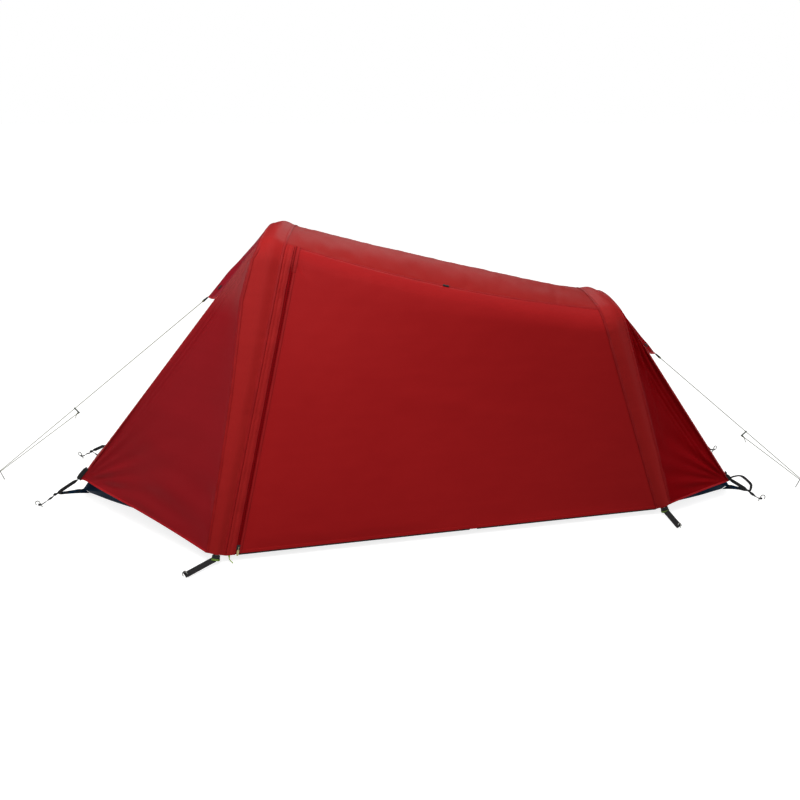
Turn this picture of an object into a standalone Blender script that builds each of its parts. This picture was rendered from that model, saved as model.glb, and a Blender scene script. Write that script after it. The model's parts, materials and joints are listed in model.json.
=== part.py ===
"""Two-hoop tunnel tent for one person, pitched, with inner tent, guylines and pegs.

The frame is two pre-bent pole hoops of unequal height in fabric sleeves. A flysheet of
sewn panels is stretched over them and pegged out at both ends. An inner tent with a tub
floor hangs below it. Metres, +Z up. X runs along the tent, the taller hoop is at -X, and
the door is on the -Y side. The origin is the middle of the floor's underside.
"""
import bpy
import bmesh
from math import cos, pi, radians, sin
from mathutils import Vector

# Front hoop, on the line of its pole
FRONT_FOOT_X = -0.640
FRONT_APEX_X = -0.440
FRONT_HEIGHT = 1.036
FRONT_HALF_WIDTH = 0.655
FRONT_CROWN_HALF = 0.190
FRONT_CROWN_SLOPE = radians(12)
FRONT_SHOULDER_RADIUS = 0.110

# Rear hoop
REAR_FOOT_X = 1.000
REAR_APEX_X = 0.757
REAR_HEIGHT = 0.772
REAR_HALF_WIDTH = 0.340
REAR_CROWN_HALF = 0.150
REAR_CROWN_SLOPE = radians(10)
REAR_SHOULDER_RADIUS = 0.085

# The rear sleeve turns about its pole to face between roof and end panel
REAR_FOOT_TWIST = radians(8)
REAR_CROWN_TWIST = radians(25)

# Poles: aluminium tube in three sections with ferrules
POLE_RADIUS = 0.00425
POLE_WALL = 0.0008
FERRULE_LENGTH = 0.030
FERRULE_GAP = 0.00036
POLE_START = 0.018

# Pole sleeves: flat fabric tubes sewn along both edges
SLEEVE_START = 0.034
SLEEVE_CROWN_HALF = 0.046
SLEEVE_FOOT_HALF = 0.030
SLEEVE_DEPTH = 0.010
SLEEVE_WALL = 0.0008
SLEEVE_SEAM_LAYERS = 3
# Extra width of the front sleeve on its end side, from the foot up to the shoulder
FRONT_FLARE = (0.006, 0.006, 0.006, 0.008, 0.012, 0.019, 0.026, 0.013, 0.005)

# Steps along each half hoop
LEG_STEPS = 7
SHOULDER_STEPS = 5
CROWN_STEPS = 3
SEAM_STEP = LEG_STEPS + 4
# Search for a leg's slope
ANGLE_MARGIN = 0.01
ANGLE_HALVINGS = 60

# Fabric panels
FLY_THICKNESS = 0.0008
INNER_THICKNESS = 0.0008
FLOOR_THICKNESS = 0.0010
SEAT_GAP = 0.0003
SEW_GAP = 0.0007
HANG_GAP = 0.0004
ROOF_SEAM_SAG = 0.032
RIDGE_SAG = 0.002
SIDE_SAG = 0.016
END_SAG = 0.018

# Ends of the flysheet: corners beyond the floor's ends, hood tips from the hoops' apexes
FRONT_CORNER_REACH = 0.012
FRONT_CORNER_OUT = 0.050
FRONT_CORNER_HEIGHT = 0.086
REAR_CORNER_REACH = 0.004
REAR_CORNER_OUT = 0.045
REAR_CORNER_HEIGHT = 0.064
FRONT_TIP_REACH = 0.293
FRONT_TIP_DROP = 0.268
REAR_TIP_REACH = 0.254
REAR_TIP_DROP = 0.240
END_HEM_RISE = 0.013
HOOD_SHARE = 0.21
END_EDGE_SHARE = 0.988
# Directions in which the panels sag
END_INWARD = (0.78, 0.62)
END_SIDE_INWARD = (0.45, 0.85, 0.25)
SIDE_INWARD_DROP = 0.35
VENT_MESH_THICKNESS = 0.0006
VENT_MESH_DROP = 0.0016
VENT_MESH_GAP = 0.0013
VENT_MESH_INSET = 0.0030
VENT_MESH_SAG = 0.015
VENT_SIDE_SAG = 0.036
VENT_SILL_INSET = 0.03
HOOD_LIFT = 0.0030

# Zip along the near leg of the front hoop, and the door flap that it frees
ZIP_OFFSET = 0.0385
ZIP_TAPE_WIDTH = 0.014
ZIP_TAPE_THICKNESS = 0.0008
TOOTH_PITCH = 0.0125
TOOTH_LENGTH = 0.0044
TOOTH_REACH = 0.0015
TOOTH_THICKNESS = 0.0018
TOOTH_TAPER = 0.2
TAPE_EDGE = 0.0025
ZIP_BOTTOM = 0.030
STORM_FLAP_LIFT = 0.0016
STORM_FLAP_ROUND = 0.006
DOOR_HEM_X = 0.260
DOOR_EDGE_SHARE = 0.985
DOOR_TOP_SHARE = 0.955
FOLD_GAP = 0.0026
FOLD_FOOT_GAP = 0.00338
# How soon the near side follows the front and the rear sleeve
NEAR_FRONT_FADE = 5
NEAR_REAR_FADE = 2.5

# Zip slider and puller
SLIDER_LENGTH = 0.016
SLIDER_HALF_WIDTH = 0.0068
SLIDER_PLATE = 0.0011
SLIDER_PIN_RADIUS = 0.0009
SLIDER_PIN_HEIGHT = 0.0022
SLIDER_PIN_BITE = 0.0006
SLIDER_REST_SHARE = 0.25
EAR_THICKNESS = 0.0012
EAR_LENGTH = 0.0036
PULLER_LENGTH = 0.026
PULLER_WIDTH = 0.0070
PULLER_THICKNESS = 0.0016
PULLER_EYE_RADIUS = 0.0021
PULLER_EYE_SIDES = 10
PULLER_NECK_LENGTH = 0.008
PULLER_NECK_BITE = 0.001

# Toggle at the middle of the near roof seam
TOGGLE_LENGTH = 0.022
TOGGLE_RADIUS = 0.0040
TOGGLE_OUT = (0, -0.6, 0.8)
TOGGLE_SPAN = 0.01
# Place along the toggle and share of its radius
TOGGLE_PROFILE = ((-0.5, 0.55), (-0.42, 0.95), (-0.12, 1.0), (-0.08, 0.65), (0.08, 0.65), (0.12, 1.0),
                  (0.42, 0.95), (0.5, 0.55))

# Tub floor and inner tent
TUB_FRONT_X = -1.235
TUB_REAR_X = 1.290
TUB_FRONT_END_HALF = 0.127
TUB_REAR_END_HALF = 0.145
TUB_FRONT_HOOP_X = -0.600
TUB_FRONT_HALF = 0.500
TUB_REAR_HOOP_X = 0.950
TUB_REAR_HALF = 0.285
TUB_WALL = 0.090
TUB_CORNER_WALL = 0.030
TUB_CORNER_PULL = 0.020
TUB_PULL_ASIDE = 0.6
TUB_SHOULDER_SHARE = 0.35
TUB_SHOULDER_WALL = 0.85
# The inner tent's crown hangs below and beside each hoop's apex
INNER_FRONT_SHIFT = -0.015
INNER_FRONT_DROP = 0.081
INNER_FRONT_CROWN = 0.190
INNER_REAR_SHIFT = 0.008
INNER_REAR_DROP = 0.082
INNER_REAR_CROWN = 0.145
INNER_DOME = 0.012
INNER_DOOR_START = 0.10
INNER_DOOR_END = 0.62
INNER_DOOR_SILL = 0.08
INNER_DOOR_TOP = 0.86
INNER_DOOR_GAP = 0.0012
# Shares at which the inner panels bend
DOOR_COLUMNS = (0.27, 0.45)
DOOR_ROWS = (0.34, 0.60)
WALL_FRONT_COLUMN = 0.05
WALL_REAR_COLUMNS = (0.75, 0.88)
CANOPY_WALL_ROWS = (0.0, 0.35, 0.7, 1.0)
CANOPY_ROOF_ROWS = (0.33, 0.67, 1.0)
INNER_END_COLUMNS = (0.0, 0.06, 0.12, 0.88, 0.94, 1.0)

# Webbing
FOOT_WEBBING = 0.018
CORNER_WEBBING = 0.012
WEBBING_THICKNESS = 0.0014
CUP_HALF = 0.0095
CUP_DEPTH_SHARE = 0.85
CUP_HEIGHT = 0.018
CUP_FLOOR = 0.004
CUP_CLEARANCE = 0.0004
CUP_BORE_LENGTH = 0.050
FOOT_STRAP_RISE = 0.005
FOOT_STRAP_LEVEL = 0.012
FOOT_EYE_BEFORE = 0.006
FOOT_EYE_BEYOND = 0.010
CORNER_EYE_BEFORE = 0.008
CORNER_EYE_BEYOND = 0.009
PEG_EYE_CLEARANCE = 0.0008
EYE_HEIGHT = 0.012
EYE_CUT = 0.020
# The floor's own strap leaves the corner strap at a share of its way to the peg
TAIL_SHARE = 0.62
TAIL_WIDTH_SHARE = 0.9
TAIL_DROP = 0.002

# Ladder-lock buckles at the four corners
BUCKLE_LENGTH = 0.026
BUCKLE_WIDTH = 0.020
BUCKLE_THICKNESS = 0.0030
BUCKLE_BAR = 0.0030
BUCKLE_RISE = 0.004
BUCKLE_LIFT = 0.0057
BUCKLE_LIP = 0.009
LIP_BACK = 0.0027
LIP_UP = 0.00252
LIP_TILT = 0.6
LIP_THICKNESS = 0.00165
LIP_NARROWER = 0.0012
THREAD_BACK = 0.0008
THREAD_ENTRY = 0.2
THREAD_EXIT = 0.004

# Pegs: bent wire
PEG_RADIUS = 0.0020
PEG_DEPTH = 0.150
PEG_HOOK_RADIUS = 0.0075
PEG_TILT = radians(18)
PEG_HOOK_STEPS = 6
PEG_TIP_SHARE = 0.9
CORNER_PEG_NECK = 0.022
GUY_PEG_NECK = 0.050
GUY_CORD_DROP = 0.012
# Steps over the ground from each corner or foot to its peg, and from the corners to the guyline pegs
FRONT_CORNER_STEP = (-0.141, 0.049)
REAR_CORNER_STEP = (0.108, 0.044)
FRONT_FOOT_STEP = (-0.072, 0.073)
REAR_FOOT_STEP = (0.010, 0.100)
FRONT_GUY_REACH = 0.393
FRONT_GUY_ASIDE = 0.020
REAR_GUY_REACH = 0.311
REAR_GUY_ASIDE = -0.120

# Guylines
CORD_RADIUS = 0.00125
RUNNER_LENGTH = 0.030
RUNNER_WIDTH = 0.008
RUNNER_THICKNESS = 0.0035
RUNNER_HOLE_SPACING = 0.011
RUNNER_SHARE = 0.62
RUNNER_CLEARANCE = 0.0005
RUNNER_ROUND = 0.0012
RUNNER_CUT = 0.010
LOOP_RISE = 0.0016
LOOP_STEPS = 8
CORD_POINTS = 30

NEAR = -1
FAR = 1
UP = Vector((0, 0, 1))
SIDEWAYS = Vector((0, 1, 0))

# Places that follow from the sizes above
FRONT_CORNER = Vector((TUB_FRONT_X - FRONT_CORNER_REACH, TUB_FRONT_END_HALF + FRONT_CORNER_OUT,
                       FRONT_CORNER_HEIGHT))
REAR_CORNER = Vector((TUB_REAR_X + REAR_CORNER_REACH, TUB_REAR_END_HALF + REAR_CORNER_OUT,
                      REAR_CORNER_HEIGHT))
FRONT_HOOD_TIP = Vector((FRONT_APEX_X - FRONT_TIP_REACH, 0, FRONT_HEIGHT - FRONT_TIP_DROP))
REAR_HOOD_TIP = Vector((REAR_APEX_X + REAR_TIP_REACH, 0, REAR_HEIGHT - REAR_TIP_DROP))
FRONT_CORNER_PEG = Vector((FRONT_CORNER.x + FRONT_CORNER_STEP[0], FRONT_CORNER.y + FRONT_CORNER_STEP[1], 0))
REAR_CORNER_PEG = Vector((REAR_CORNER.x + REAR_CORNER_STEP[0], REAR_CORNER.y + REAR_CORNER_STEP[1], 0))
FRONT_FOOT_PEG = Vector((FRONT_FOOT_X + FRONT_FOOT_STEP[0], FRONT_HALF_WIDTH + FRONT_FOOT_STEP[1], 0))
REAR_FOOT_PEG = Vector((REAR_FOOT_X + REAR_FOOT_STEP[0], REAR_HALF_WIDTH + REAR_FOOT_STEP[1], 0))
FRONT_GUY_PEG = Vector((FRONT_CORNER.x - FRONT_GUY_REACH, FRONT_GUY_ASIDE, 0))
REAR_GUY_PEG = Vector((REAR_CORNER.x + REAR_GUY_REACH, REAR_GUY_ASIDE, 0))
INNER_FRONT = Vector((FRONT_APEX_X + INNER_FRONT_SHIFT, INNER_FRONT_CROWN, FRONT_HEIGHT - INNER_FRONT_DROP))
INNER_REAR = Vector((REAR_APEX_X + INNER_REAR_SHIFT, INNER_REAR_CROWN, REAR_HEIGHT - INNER_REAR_DROP))


def clear_scene():
    for item in list(bpy.data.objects):
        bpy.data.objects.remove(item, do_unlink=True)


def material(name, colour, roughness, metallic=0.0):
    finish = bpy.data.materials.new(name)
    finish.use_nodes = True
    shader = finish.node_tree.nodes["Principled BSDF"]
    shader.inputs["Base Color"].default_value = (*colour, 1.0)
    shader.inputs["Roughness"].default_value = roughness
    shader.inputs["Metallic"].default_value = metallic
    finish.diffuse_color = (*colour, 1.0)
    return finish


COLOURS = {
    "fly": ((0.26, 0.012, 0.014), 0.55, 0.0),
    "roof": ((0.34, 0.030, 0.030), 0.55, 0.0),
    "sleeve": ((0.30, 0.016, 0.018), 0.55, 0.0),
    "inner": ((0.45, 0.44, 0.42), 0.80, 0.0),
    "mesh": ((0.03, 0.03, 0.03), 0.85, 0.0),
    "floor": ((0.012, 0.045, 0.075), 0.50, 0.0),
    "webbing": ((0.012, 0.012, 0.012), 0.80, 0.0),
    "plastic": ((0.010, 0.010, 0.010), 0.40, 0.0),
    "alloy": ((0.62, 0.62, 0.60), 0.35, 1.0),
    "steel": ((0.45, 0.45, 0.45), 0.30, 1.0),
    "cord": ((0.42, 0.50, 0.16), 0.75, 0.0),
}


def paint(item, kind):
    colour, roughness, metallic = COLOURS[kind]
    item.data.materials.append(material(item.name + "_finish", colour, roughness, metallic))
    return item


def make_object(name, mesh, kind, smooth=False):
    item = bpy.data.objects.new(name, mesh)
    bpy.context.collection.objects.link(item)
    if smooth:
        mesh.shade_smooth()
        mesh.set_sharp_from_angle(angle=radians(40))
    return paint(item, kind)


def mesh_from(name, points, faces):
    mesh = bpy.data.meshes.new(name)
    mesh.from_pydata([tuple(point) for point in points], [], faces)
    mesh.validate()
    form = bmesh.new()
    form.from_mesh(mesh)
    bmesh.ops.recalc_face_normals(form, faces=form.faces)
    form.to_mesh(mesh)
    form.free()
    return mesh


def set_origin(item, origin):
    """Move an object's origin to a point and leave its shape where it is."""
    if item.type == "CURVE":
        for point in item.data.splines[0].points:
            point.co -= Vector((*origin, 0.0))
    else:
        for vertex in item.data.vertices:
            vertex.co -= origin
    item.location = origin


def thicken(item, thickness):
    shell = item.modifiers.new("thickness", "SOLIDIFY")
    shell.thickness = thickness
    shell.offset = 0
    shell.use_even_offset = True
    return item


def combine(base, tools, operation):
    """Join or cut with hidden tool objects."""
    for tool in tools:
        tool.hide_render = True
        tool.display_type = "WIRE"
        step = base.modifiers.new(operation.lower(), "BOOLEAN")
        step.operation = operation
        step.solver = "EXACT"
        step.object = tool
    return base


def grid_faces(rows, columns, hole=None):
    faces = []
    for row in range(rows - 1):
        for column in range(columns - 1):
            if hole and hole[0] <= row < hole[1] and hole[2] <= column < hole[3]:
                continue
            corner = row * columns + column
            faces.append((corner, corner + 1, corner + columns + 1, corner + columns))
    return faces


def sheet(name, grid, thickness, kind, hole=None):
    """A fabric panel: a grid of points given its thickness on both sides."""
    points = [point for row in grid for point in row]
    faces = grid_faces(len(grid), len(grid[0]), hole)
    mesh = bpy.data.meshes.new(name)
    mesh.from_pydata([tuple(point) for point in points], [], faces)
    if hole:
        form = bmesh.new()
        form.from_mesh(mesh)
        bmesh.ops.delete(form, geom=[v for v in form.verts if not v.link_faces], context="VERTS")
        form.to_mesh(mesh)
        form.free()
    return thicken(make_object(name, mesh, kind, smooth=True), thickness)


def ring_loft(name, rings, kind, inner=None, smooth=True):
    """A tube from matching rings of points, solid, or hollow and open where inner is given."""
    sides = len(rings[0])
    count = len(rings)
    points = [point for ring in rings for point in ring]
    faces = []

    def skin(offset):
        for row in range(count - 1):
            for side in range(sides):
                a = offset + row * sides + side
                b = offset + row * sides + (side + 1) % sides
                faces.append((a, b, b + sides, a + sides))

    skin(0)
    last = (count - 1) * sides
    if inner is None:
        faces.append(tuple(range(sides)))
        faces.append(tuple(range(last, last + sides)))
    else:
        bore = len(points)
        points += [point for ring in inner for point in ring]
        skin(bore)
        for start in (0, last):
            for side in range(sides):
                after = (side + 1) % sides
                faces.append((start + side, start + after, bore + start + after, bore + start + side))
    return make_object(name, mesh_from(name, points, faces), kind, smooth)


def block(name, centre, axes, size, kind="plastic"):
    """A box with its size along three axes."""
    corners = []
    for x in (-0.5, 0.5):
        for y in (-0.5, 0.5):
            for z in (-0.5, 0.5):
                corners.append(centre + axes[0] * size[0] * x + axes[1] * size[1] * y + axes[2] * size[2] * z)
    faces = [(0, 1, 3, 2), (4, 6, 7, 5), (0, 4, 5, 1), (2, 3, 7, 6), (0, 2, 6, 4), (1, 5, 7, 3)]
    return make_object(name, mesh_from(name, corners, faces), kind)


def circle(centre, first, second, radius, sides, other_radius=None):
    other = radius if other_radius is None else other_radius
    ring = []
    for side in range(sides):
        angle = 2 * pi * side / sides
        ring.append(centre + first * radius * cos(angle) + second * other * sin(angle))
    return ring


def rod(name, start, end, radius, kind="plastic", sides=10):
    direction = (end - start).normalized()
    first = direction.orthogonal().normalized()
    second = direction.cross(first)
    rings = [circle(start, first, second, radius, sides), circle(end, first, second, radius, sides)]
    return ring_loft(name, rings, kind)


def wire(name, points, radius, kind, bevel=2):
    """A round wire or cord through points."""
    curve = bpy.data.curves.new(name, "CURVE")
    curve.dimensions = "3D"
    curve.bevel_depth = radius
    curve.bevel_resolution = bevel
    curve.use_fill_caps = True
    curve.render_resolution_u = 0
    spline = curve.splines.new("POLY")
    spline.points.add(len(points) - 1)
    for item, point in zip(spline.points, points):
        item.co = (*point, 1.0)
        item.radius = 1.0
    item = bpy.data.objects.new(name, curve)
    bpy.context.collection.objects.link(item)
    return paint(item, kind)


def lerp(a, b, share):
    return a + (b - a) * share


def mirrored(point, side):
    return Vector((point.x, point.y * side, point.z))


def polyline(points, count):
    """Points at even steps along a line through points."""
    lengths = [0.0]
    for a, b in zip(points, points[1:]):
        lengths.append(lengths[-1] + (b - a).length)
    result = []
    for step in range(count):
        target = lengths[-1] * step / (count - 1)
        place = 0
        while place < len(points) - 2 and lengths[place + 1] < target:
            place += 1
        span = lengths[place + 1] - lengths[place]
        result.append(lerp(points[place], points[place + 1], (target - lengths[place]) / span))
    return result


def pull(points, targets, distance):
    """Move each point towards its target by a distance."""
    return [point + (target - point).normalized() * distance for point, target in zip(points, targets)]


def coons(left, right, bottom, top, sag=0.0, inward=None):
    """Fill four edges with a grid. Rows run from bottom to top."""
    rows = len(left)
    columns = len(bottom)
    lengths = [0.0]
    for a, b in zip(left, left[1:]):
        lengths.append(lengths[-1] + (b - a).length)
    grid = []
    for row in range(rows):
        v = lengths[row] / lengths[-1]
        line = []
        for column in range(columns):
            u = column / (columns - 1)
            across = lerp(left[row], right[row], u)
            upward = lerp(bottom[column], top[column], v)
            corner = lerp(lerp(left[0], right[0], u), lerp(left[-1], right[-1], u), v)
            point = across + upward - corner
            if inward is not None:
                point += inward * sag * 16 * u * (1 - u) * v * (1 - v)
            line.append(point)
        grid.append(line)
    return grid


class Hoop:
    """A pole line with straight legs, tight shoulders and a flatter crown, leaning along X."""

    def __init__(self, foot_x, apex_x, height, half_width, crown_half, crown_slope, shoulder_radius,
                 twist=(0.0, 0.0), flare=()):
        self.twist = twist
        self.flare = flare
        lean = Vector((apex_x - foot_x, 0, height))
        self.up = lean.normalized()
        self.across = SIDEWAYS.cross(self.up)
        self.foot = Vector((foot_x, 0, 0))
        self.half_width = half_width
        crown_radius = crown_half / sin(crown_slope)
        low = crown_slope + ANGLE_MARGIN
        high = pi / 2 - ANGLE_MARGIN
        for _ in range(ANGLE_HALVINGS):
            angle = (low + high) / 2
            rise = lean.length - shoulder_radius * (cos(crown_slope) - cos(angle))
            rise -= crown_radius * (1 - cos(crown_slope))
            run = half_width - shoulder_radius * (sin(angle) - sin(crown_slope)) - crown_half
            if run / cos(angle) < rise / sin(angle):
                low = angle
            else:
                high = angle
        self.leg_angle = angle
        self.leg_length = rise / sin(angle)
        half = []
        for step in range(LEG_STEPS + 1):
            share = step / LEG_STEPS
            reach = SLEEVE_START + (self.leg_length - SLEEVE_START) * share
            half.append((*self.leg_place(reach), angle, share))
        end_y, end_v = self.leg_place(self.leg_length)
        centre_y = end_y + shoulder_radius * sin(angle)
        centre_v = end_v - shoulder_radius * cos(angle)
        for step in range(1, SHOULDER_STEPS + 1):
            turn = angle + (crown_slope - angle) * step / SHOULDER_STEPS
            place = (centre_y - shoulder_radius * sin(turn), centre_v + shoulder_radius * cos(turn))
            half.append((*place, turn, 1.0))
        for step in range(1, CROWN_STEPS + 1):
            turn = crown_slope * (1 - step / CROWN_STEPS)
            place = (-crown_radius * sin(turn), lean.length - crown_radius * (1 - cos(turn)))
            half.append((*place, turn, 1.0))
        mirrored = [(-y, v, -turn, share) for y, v, turn, share in reversed(half[:-1])]
        self.stations = half + mirrored
        self.last = len(self.stations) - 1

    def leg_place(self, reach):
        return (-self.half_width + reach * cos(self.leg_angle), reach * sin(self.leg_angle))

    def place(self, y, v):
        return self.foot + SIDEWAYS * y + self.up * v

    def leg_point(self, reach, side=NEAR):
        y, v = self.leg_place(reach)
        return self.place(-side * y, v)

    def leg_direction(self, side=NEAR):
        return (self.leg_point(1.0, side) - self.leg_point(0.0, side)).normalized()

    def leg_outward(self, side=NEAR):
        return self.sleeve_axes(0 if side == NEAR else self.last)[1]

    def point(self, index):
        y, v, _, _ = self.stations[index]
        return self.place(y, v)

    def tangent(self, index):
        turn = self.stations[index][2]
        return SIDEWAYS * cos(turn) + self.up * sin(turn)

    def outward(self, index):
        turn = self.stations[index][2]
        return self.up * cos(turn) - SIDEWAYS * sin(turn)

    def sleeve_axes(self, index):
        """The sleeve's own directions across the pole and out from it."""
        turn = lerp(*self.twist, self.stations[index][3])
        outward = self.outward(index)
        return (self.across * cos(turn) - outward * sin(turn), outward * cos(turn) + self.across * sin(turn))

    def sleeve_half(self, index, side):
        half = lerp(SLEEVE_FOOT_HALF, SLEEVE_CROWN_HALF, self.stations[index][3])
        step = min(index, self.last - index)
        if side < 0 and step < len(self.flare):
            half += self.flare[step]
        return half

    def edge(self, index, side, gap=SEW_GAP):
        """The place where a panel is sewn to the sleeve: side 1 faces the rear, -1 the front."""
        reach = self.sleeve_half(index, side) + gap
        return self.point(index) + self.sleeve_axes(index)[0] * side * reach

    def mirror_index(self, index):
        return self.last - index


front_hoop = Hoop(FRONT_FOOT_X, FRONT_APEX_X, FRONT_HEIGHT, FRONT_HALF_WIDTH, FRONT_CROWN_HALF,
                  FRONT_CROWN_SLOPE, FRONT_SHOULDER_RADIUS, flare=FRONT_FLARE)
rear_hoop = Hoop(REAR_FOOT_X, REAR_APEX_X, REAR_HEIGHT, REAR_HALF_WIDTH, REAR_CROWN_HALF,
                 REAR_CROWN_SLOPE, REAR_SHOULDER_RADIUS, twist=(REAR_FOOT_TWIST, REAR_CROWN_TWIST))

# The pole lies against the outer layer of its sleeve, which narrows beside the middle line
SLEEVE_SIDES = 8
POLE_SIDES = 8
POLE_LIFT = SLEEVE_DEPTH - SLEEVE_WALL - SEAT_GAP - POLE_RADIUS


def sleeve_ring(hoop, index, inset):
    """A lens round the pole. Its halves reach differently far to the front and to the rear."""
    across, outward = hoop.sleeve_axes(index)
    ring = []
    for side in range(SLEEVE_SIDES):
        angle = 2 * pi * side / SLEEVE_SIDES
        reach = hoop.sleeve_half(index, 1 if cos(angle) > 0 else -1) - SLEEVE_SEAM_LAYERS * inset
        depth = SLEEVE_DEPTH - inset
        ring.append(hoop.point(index) + across * reach * cos(angle) + outward * depth * sin(angle))
    return ring


def build_sleeve(name, hoop):
    indices = range(hoop.last + 1)
    rings = [sleeve_ring(hoop, index, 0.0) for index in indices]
    bores = [sleeve_ring(hoop, index, SLEEVE_WALL) for index in indices]
    return ring_loft(name, rings, "sleeve", inner=bores)


def pole_line(hoop):
    """Centre, side and outward directions at each step, with both feet added."""
    line = []
    for index in range(hoop.last + 1):
        across, outward = hoop.sleeve_axes(index)
        line.append((hoop.point(index) + outward * POLE_LIFT, across, outward))
    for side, place in ((NEAR, 0), (FAR, len(line) + 1)):
        _, *axes = line[0] if side == NEAR else line[-1]
        line.insert(place, (hoop.leg_point(POLE_START, side) + axes[1] * POLE_LIFT, *axes))
    return line


def build_pole(prefix, hoop):
    """Three tube sections. The crown section ends in ferrules that plug into the legs."""
    line = pole_line(hoop)
    joint = LEG_STEPS - 1
    splits = (("near_leg", 0, joint), ("crown", joint, len(line) - 1 - joint),
              ("far_leg", len(line) - 1 - joint, len(line) - 1))
    ferrule_radius = POLE_RADIUS - POLE_WALL - FERRULE_GAP
    for part, first, last in splits:
        rings = []
        bores = []

        def add(centre, axes, radius, bore):
            rings.append(circle(centre, *axes, radius, POLE_SIDES))
            bores.append(circle(centre, *axes, bore, POLE_SIDES))

        small_bore = ferrule_radius - POLE_WALL
        for index in range(first, last + 1):
            centre, *axes = line[index]
            toward = None
            if part == "crown" and index == first:
                toward = (line[index - 1][0] - centre).normalized()
            if part == "crown" and index == last:
                toward = (line[index + 1][0] - centre).normalized()
            if toward is None:
                # A leg stops just short of the crown section's shoulder
                if part == "near_leg" and index == last:
                    centre = centre + (line[index - 1][0] - centre).normalized() * SEAT_GAP
                if part == "far_leg" and index == first:
                    centre = centre + (line[index + 1][0] - centre).normalized() * SEAT_GAP
                bore = small_bore if part == "crown" else POLE_RADIUS - POLE_WALL
                add(centre, axes, POLE_RADIUS, bore)
                continue
            ends = [(toward * FERRULE_LENGTH, ferrule_radius), (Vector(), ferrule_radius),
                    (Vector(), POLE_RADIUS)]
            if index == last:
                ends.reverse()
            for shift, radius in ends:
                add(centre + shift, axes, radius, small_bore)
        ring_loft(prefix + "_pole_" + part, rings, "alloy", inner=bores)


def build_frame():
    for prefix, hoop in (("front", front_hoop), ("rear", rear_hoop)):
        build_sleeve(prefix + "_pole_sleeve", hoop)
        build_pole(prefix, hoop)


def seam_point(share, side, shift=0.0):
    """A point on the seam between roof and side, moved along the hoops by shift."""
    index = SEAM_STEP if side == NEAR else front_hoop.mirror_index(SEAM_STEP)
    start = front_hoop.edge(index, 1)
    end = rear_hoop.edge(index, -1)
    tangent = lerp(front_hoop.tangent(index), rear_hoop.tangent(index), share)
    point = lerp(start, end, share) + tangent * shift * -side
    return point - UP * ROOF_SEAM_SAG * 4 * share * (1 - share)


def hoop_edge(hoop, indices, side):
    return [hoop.edge(index, side) for index in indices]


def build_roof():
    columns = 13
    indices = range(SEAM_STEP, front_hoop.mirror_index(SEAM_STEP) + 1)
    shares = [column / (columns - 1) for column in range(columns)]
    near = [seam_point(share, NEAR, SEW_GAP) for share in shares]
    far = [seam_point(share, FAR, SEW_GAP) for share in shares]
    left = hoop_edge(front_hoop, indices, 1)
    right = hoop_edge(rear_hoop, indices, -1)
    left[0] = near[0]
    left[-1] = far[0]
    right[0] = near[-1]
    right[-1] = far[-1]
    grid = coons(left, right, near, far, ROOF_SEAM_SAG - RIDGE_SAG, UP)
    sheet("fly_roof", grid, FLY_THICKNESS, "roof")


def hem_line(side):
    """Where the side's hem meets the two sleeves."""
    front = front_hoop.edge(0, 1)
    rear = rear_hoop.edge(0, -1)
    if side == FAR:
        front = front_hoop.edge(front_hoop.last, 1)
        rear = rear_hoop.edge(rear_hoop.last, -1)
    return front, rear


def side_inward(side):
    return Vector((0, -side, -SIDE_INWARD_DROP)).normalized()


def build_far_side():
    columns = 13
    first = front_hoop.last
    indices = range(first, front_hoop.mirror_index(SEAM_STEP) - 1, -1)
    shares = [column / (columns - 1) for column in range(columns)]
    top = [seam_point(share, FAR, -SEW_GAP) for share in shares]
    front, rear = hem_line(FAR)
    bottom = [lerp(front, rear, share) for share in shares]
    left = hoop_edge(front_hoop, indices, 1)
    right = hoop_edge(rear_hoop, indices, -1)
    left[-1] = top[0]
    right[-1] = top[-1]
    sheet("fly_far_side", coons(left, right, bottom, top, SIDE_SAG, side_inward(FAR)),
          FLY_THICKNESS, "fly")


class DoorPlane:
    """The flat stretch of the near side that holds the zip and the door flap."""

    def __init__(self):
        foot, rear = hem_line(NEAR)
        self.start = foot - front_hoop.across * SEW_GAP
        self.along = (front_hoop.edge(LEG_STEPS, 1, 0) - self.start).normalized()
        hem = (rear - foot).normalized()
        self.out = hem.cross(self.along).normalized()
        if self.out.y > 0:
            self.out = -self.out
        self.side = self.along.cross(self.out).normalized()
        if self.side.x < 0:
            self.side = -self.side
        self.top = (front_hoop.edge(LEG_STEPS, 1, 0) - self.start).length - SEW_GAP
        share = (DOOR_HEM_X - foot.x) / (rear.x - foot.x)
        self.hinge_bottom = lerp(foot, rear, share)
        self.hinge_top = self.at(ZIP_OFFSET + TAPE_EDGE + ZIP_TAPE_WIDTH + FOLD_GAP, self.top)

    def at(self, side, along, out=0.0):
        return self.start + self.side * side + self.along * along + self.out * out

    def hem_along(self, side):
        """How far up the zip's direction the hem lies at a distance from the sleeve."""
        hem = self.hinge_bottom - self.start
        return side * hem.dot(self.along) / hem.dot(self.side)


door_plane = DoorPlane()
HINGE_AXIS = (door_plane.hinge_bottom - door_plane.hinge_top).normalized()
HINGE_SIDE = HINGE_AXIS.cross(door_plane.out).normalized()
if HINGE_SIDE.x > 0:
    HINGE_SIDE = -HINGE_SIDE


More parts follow.
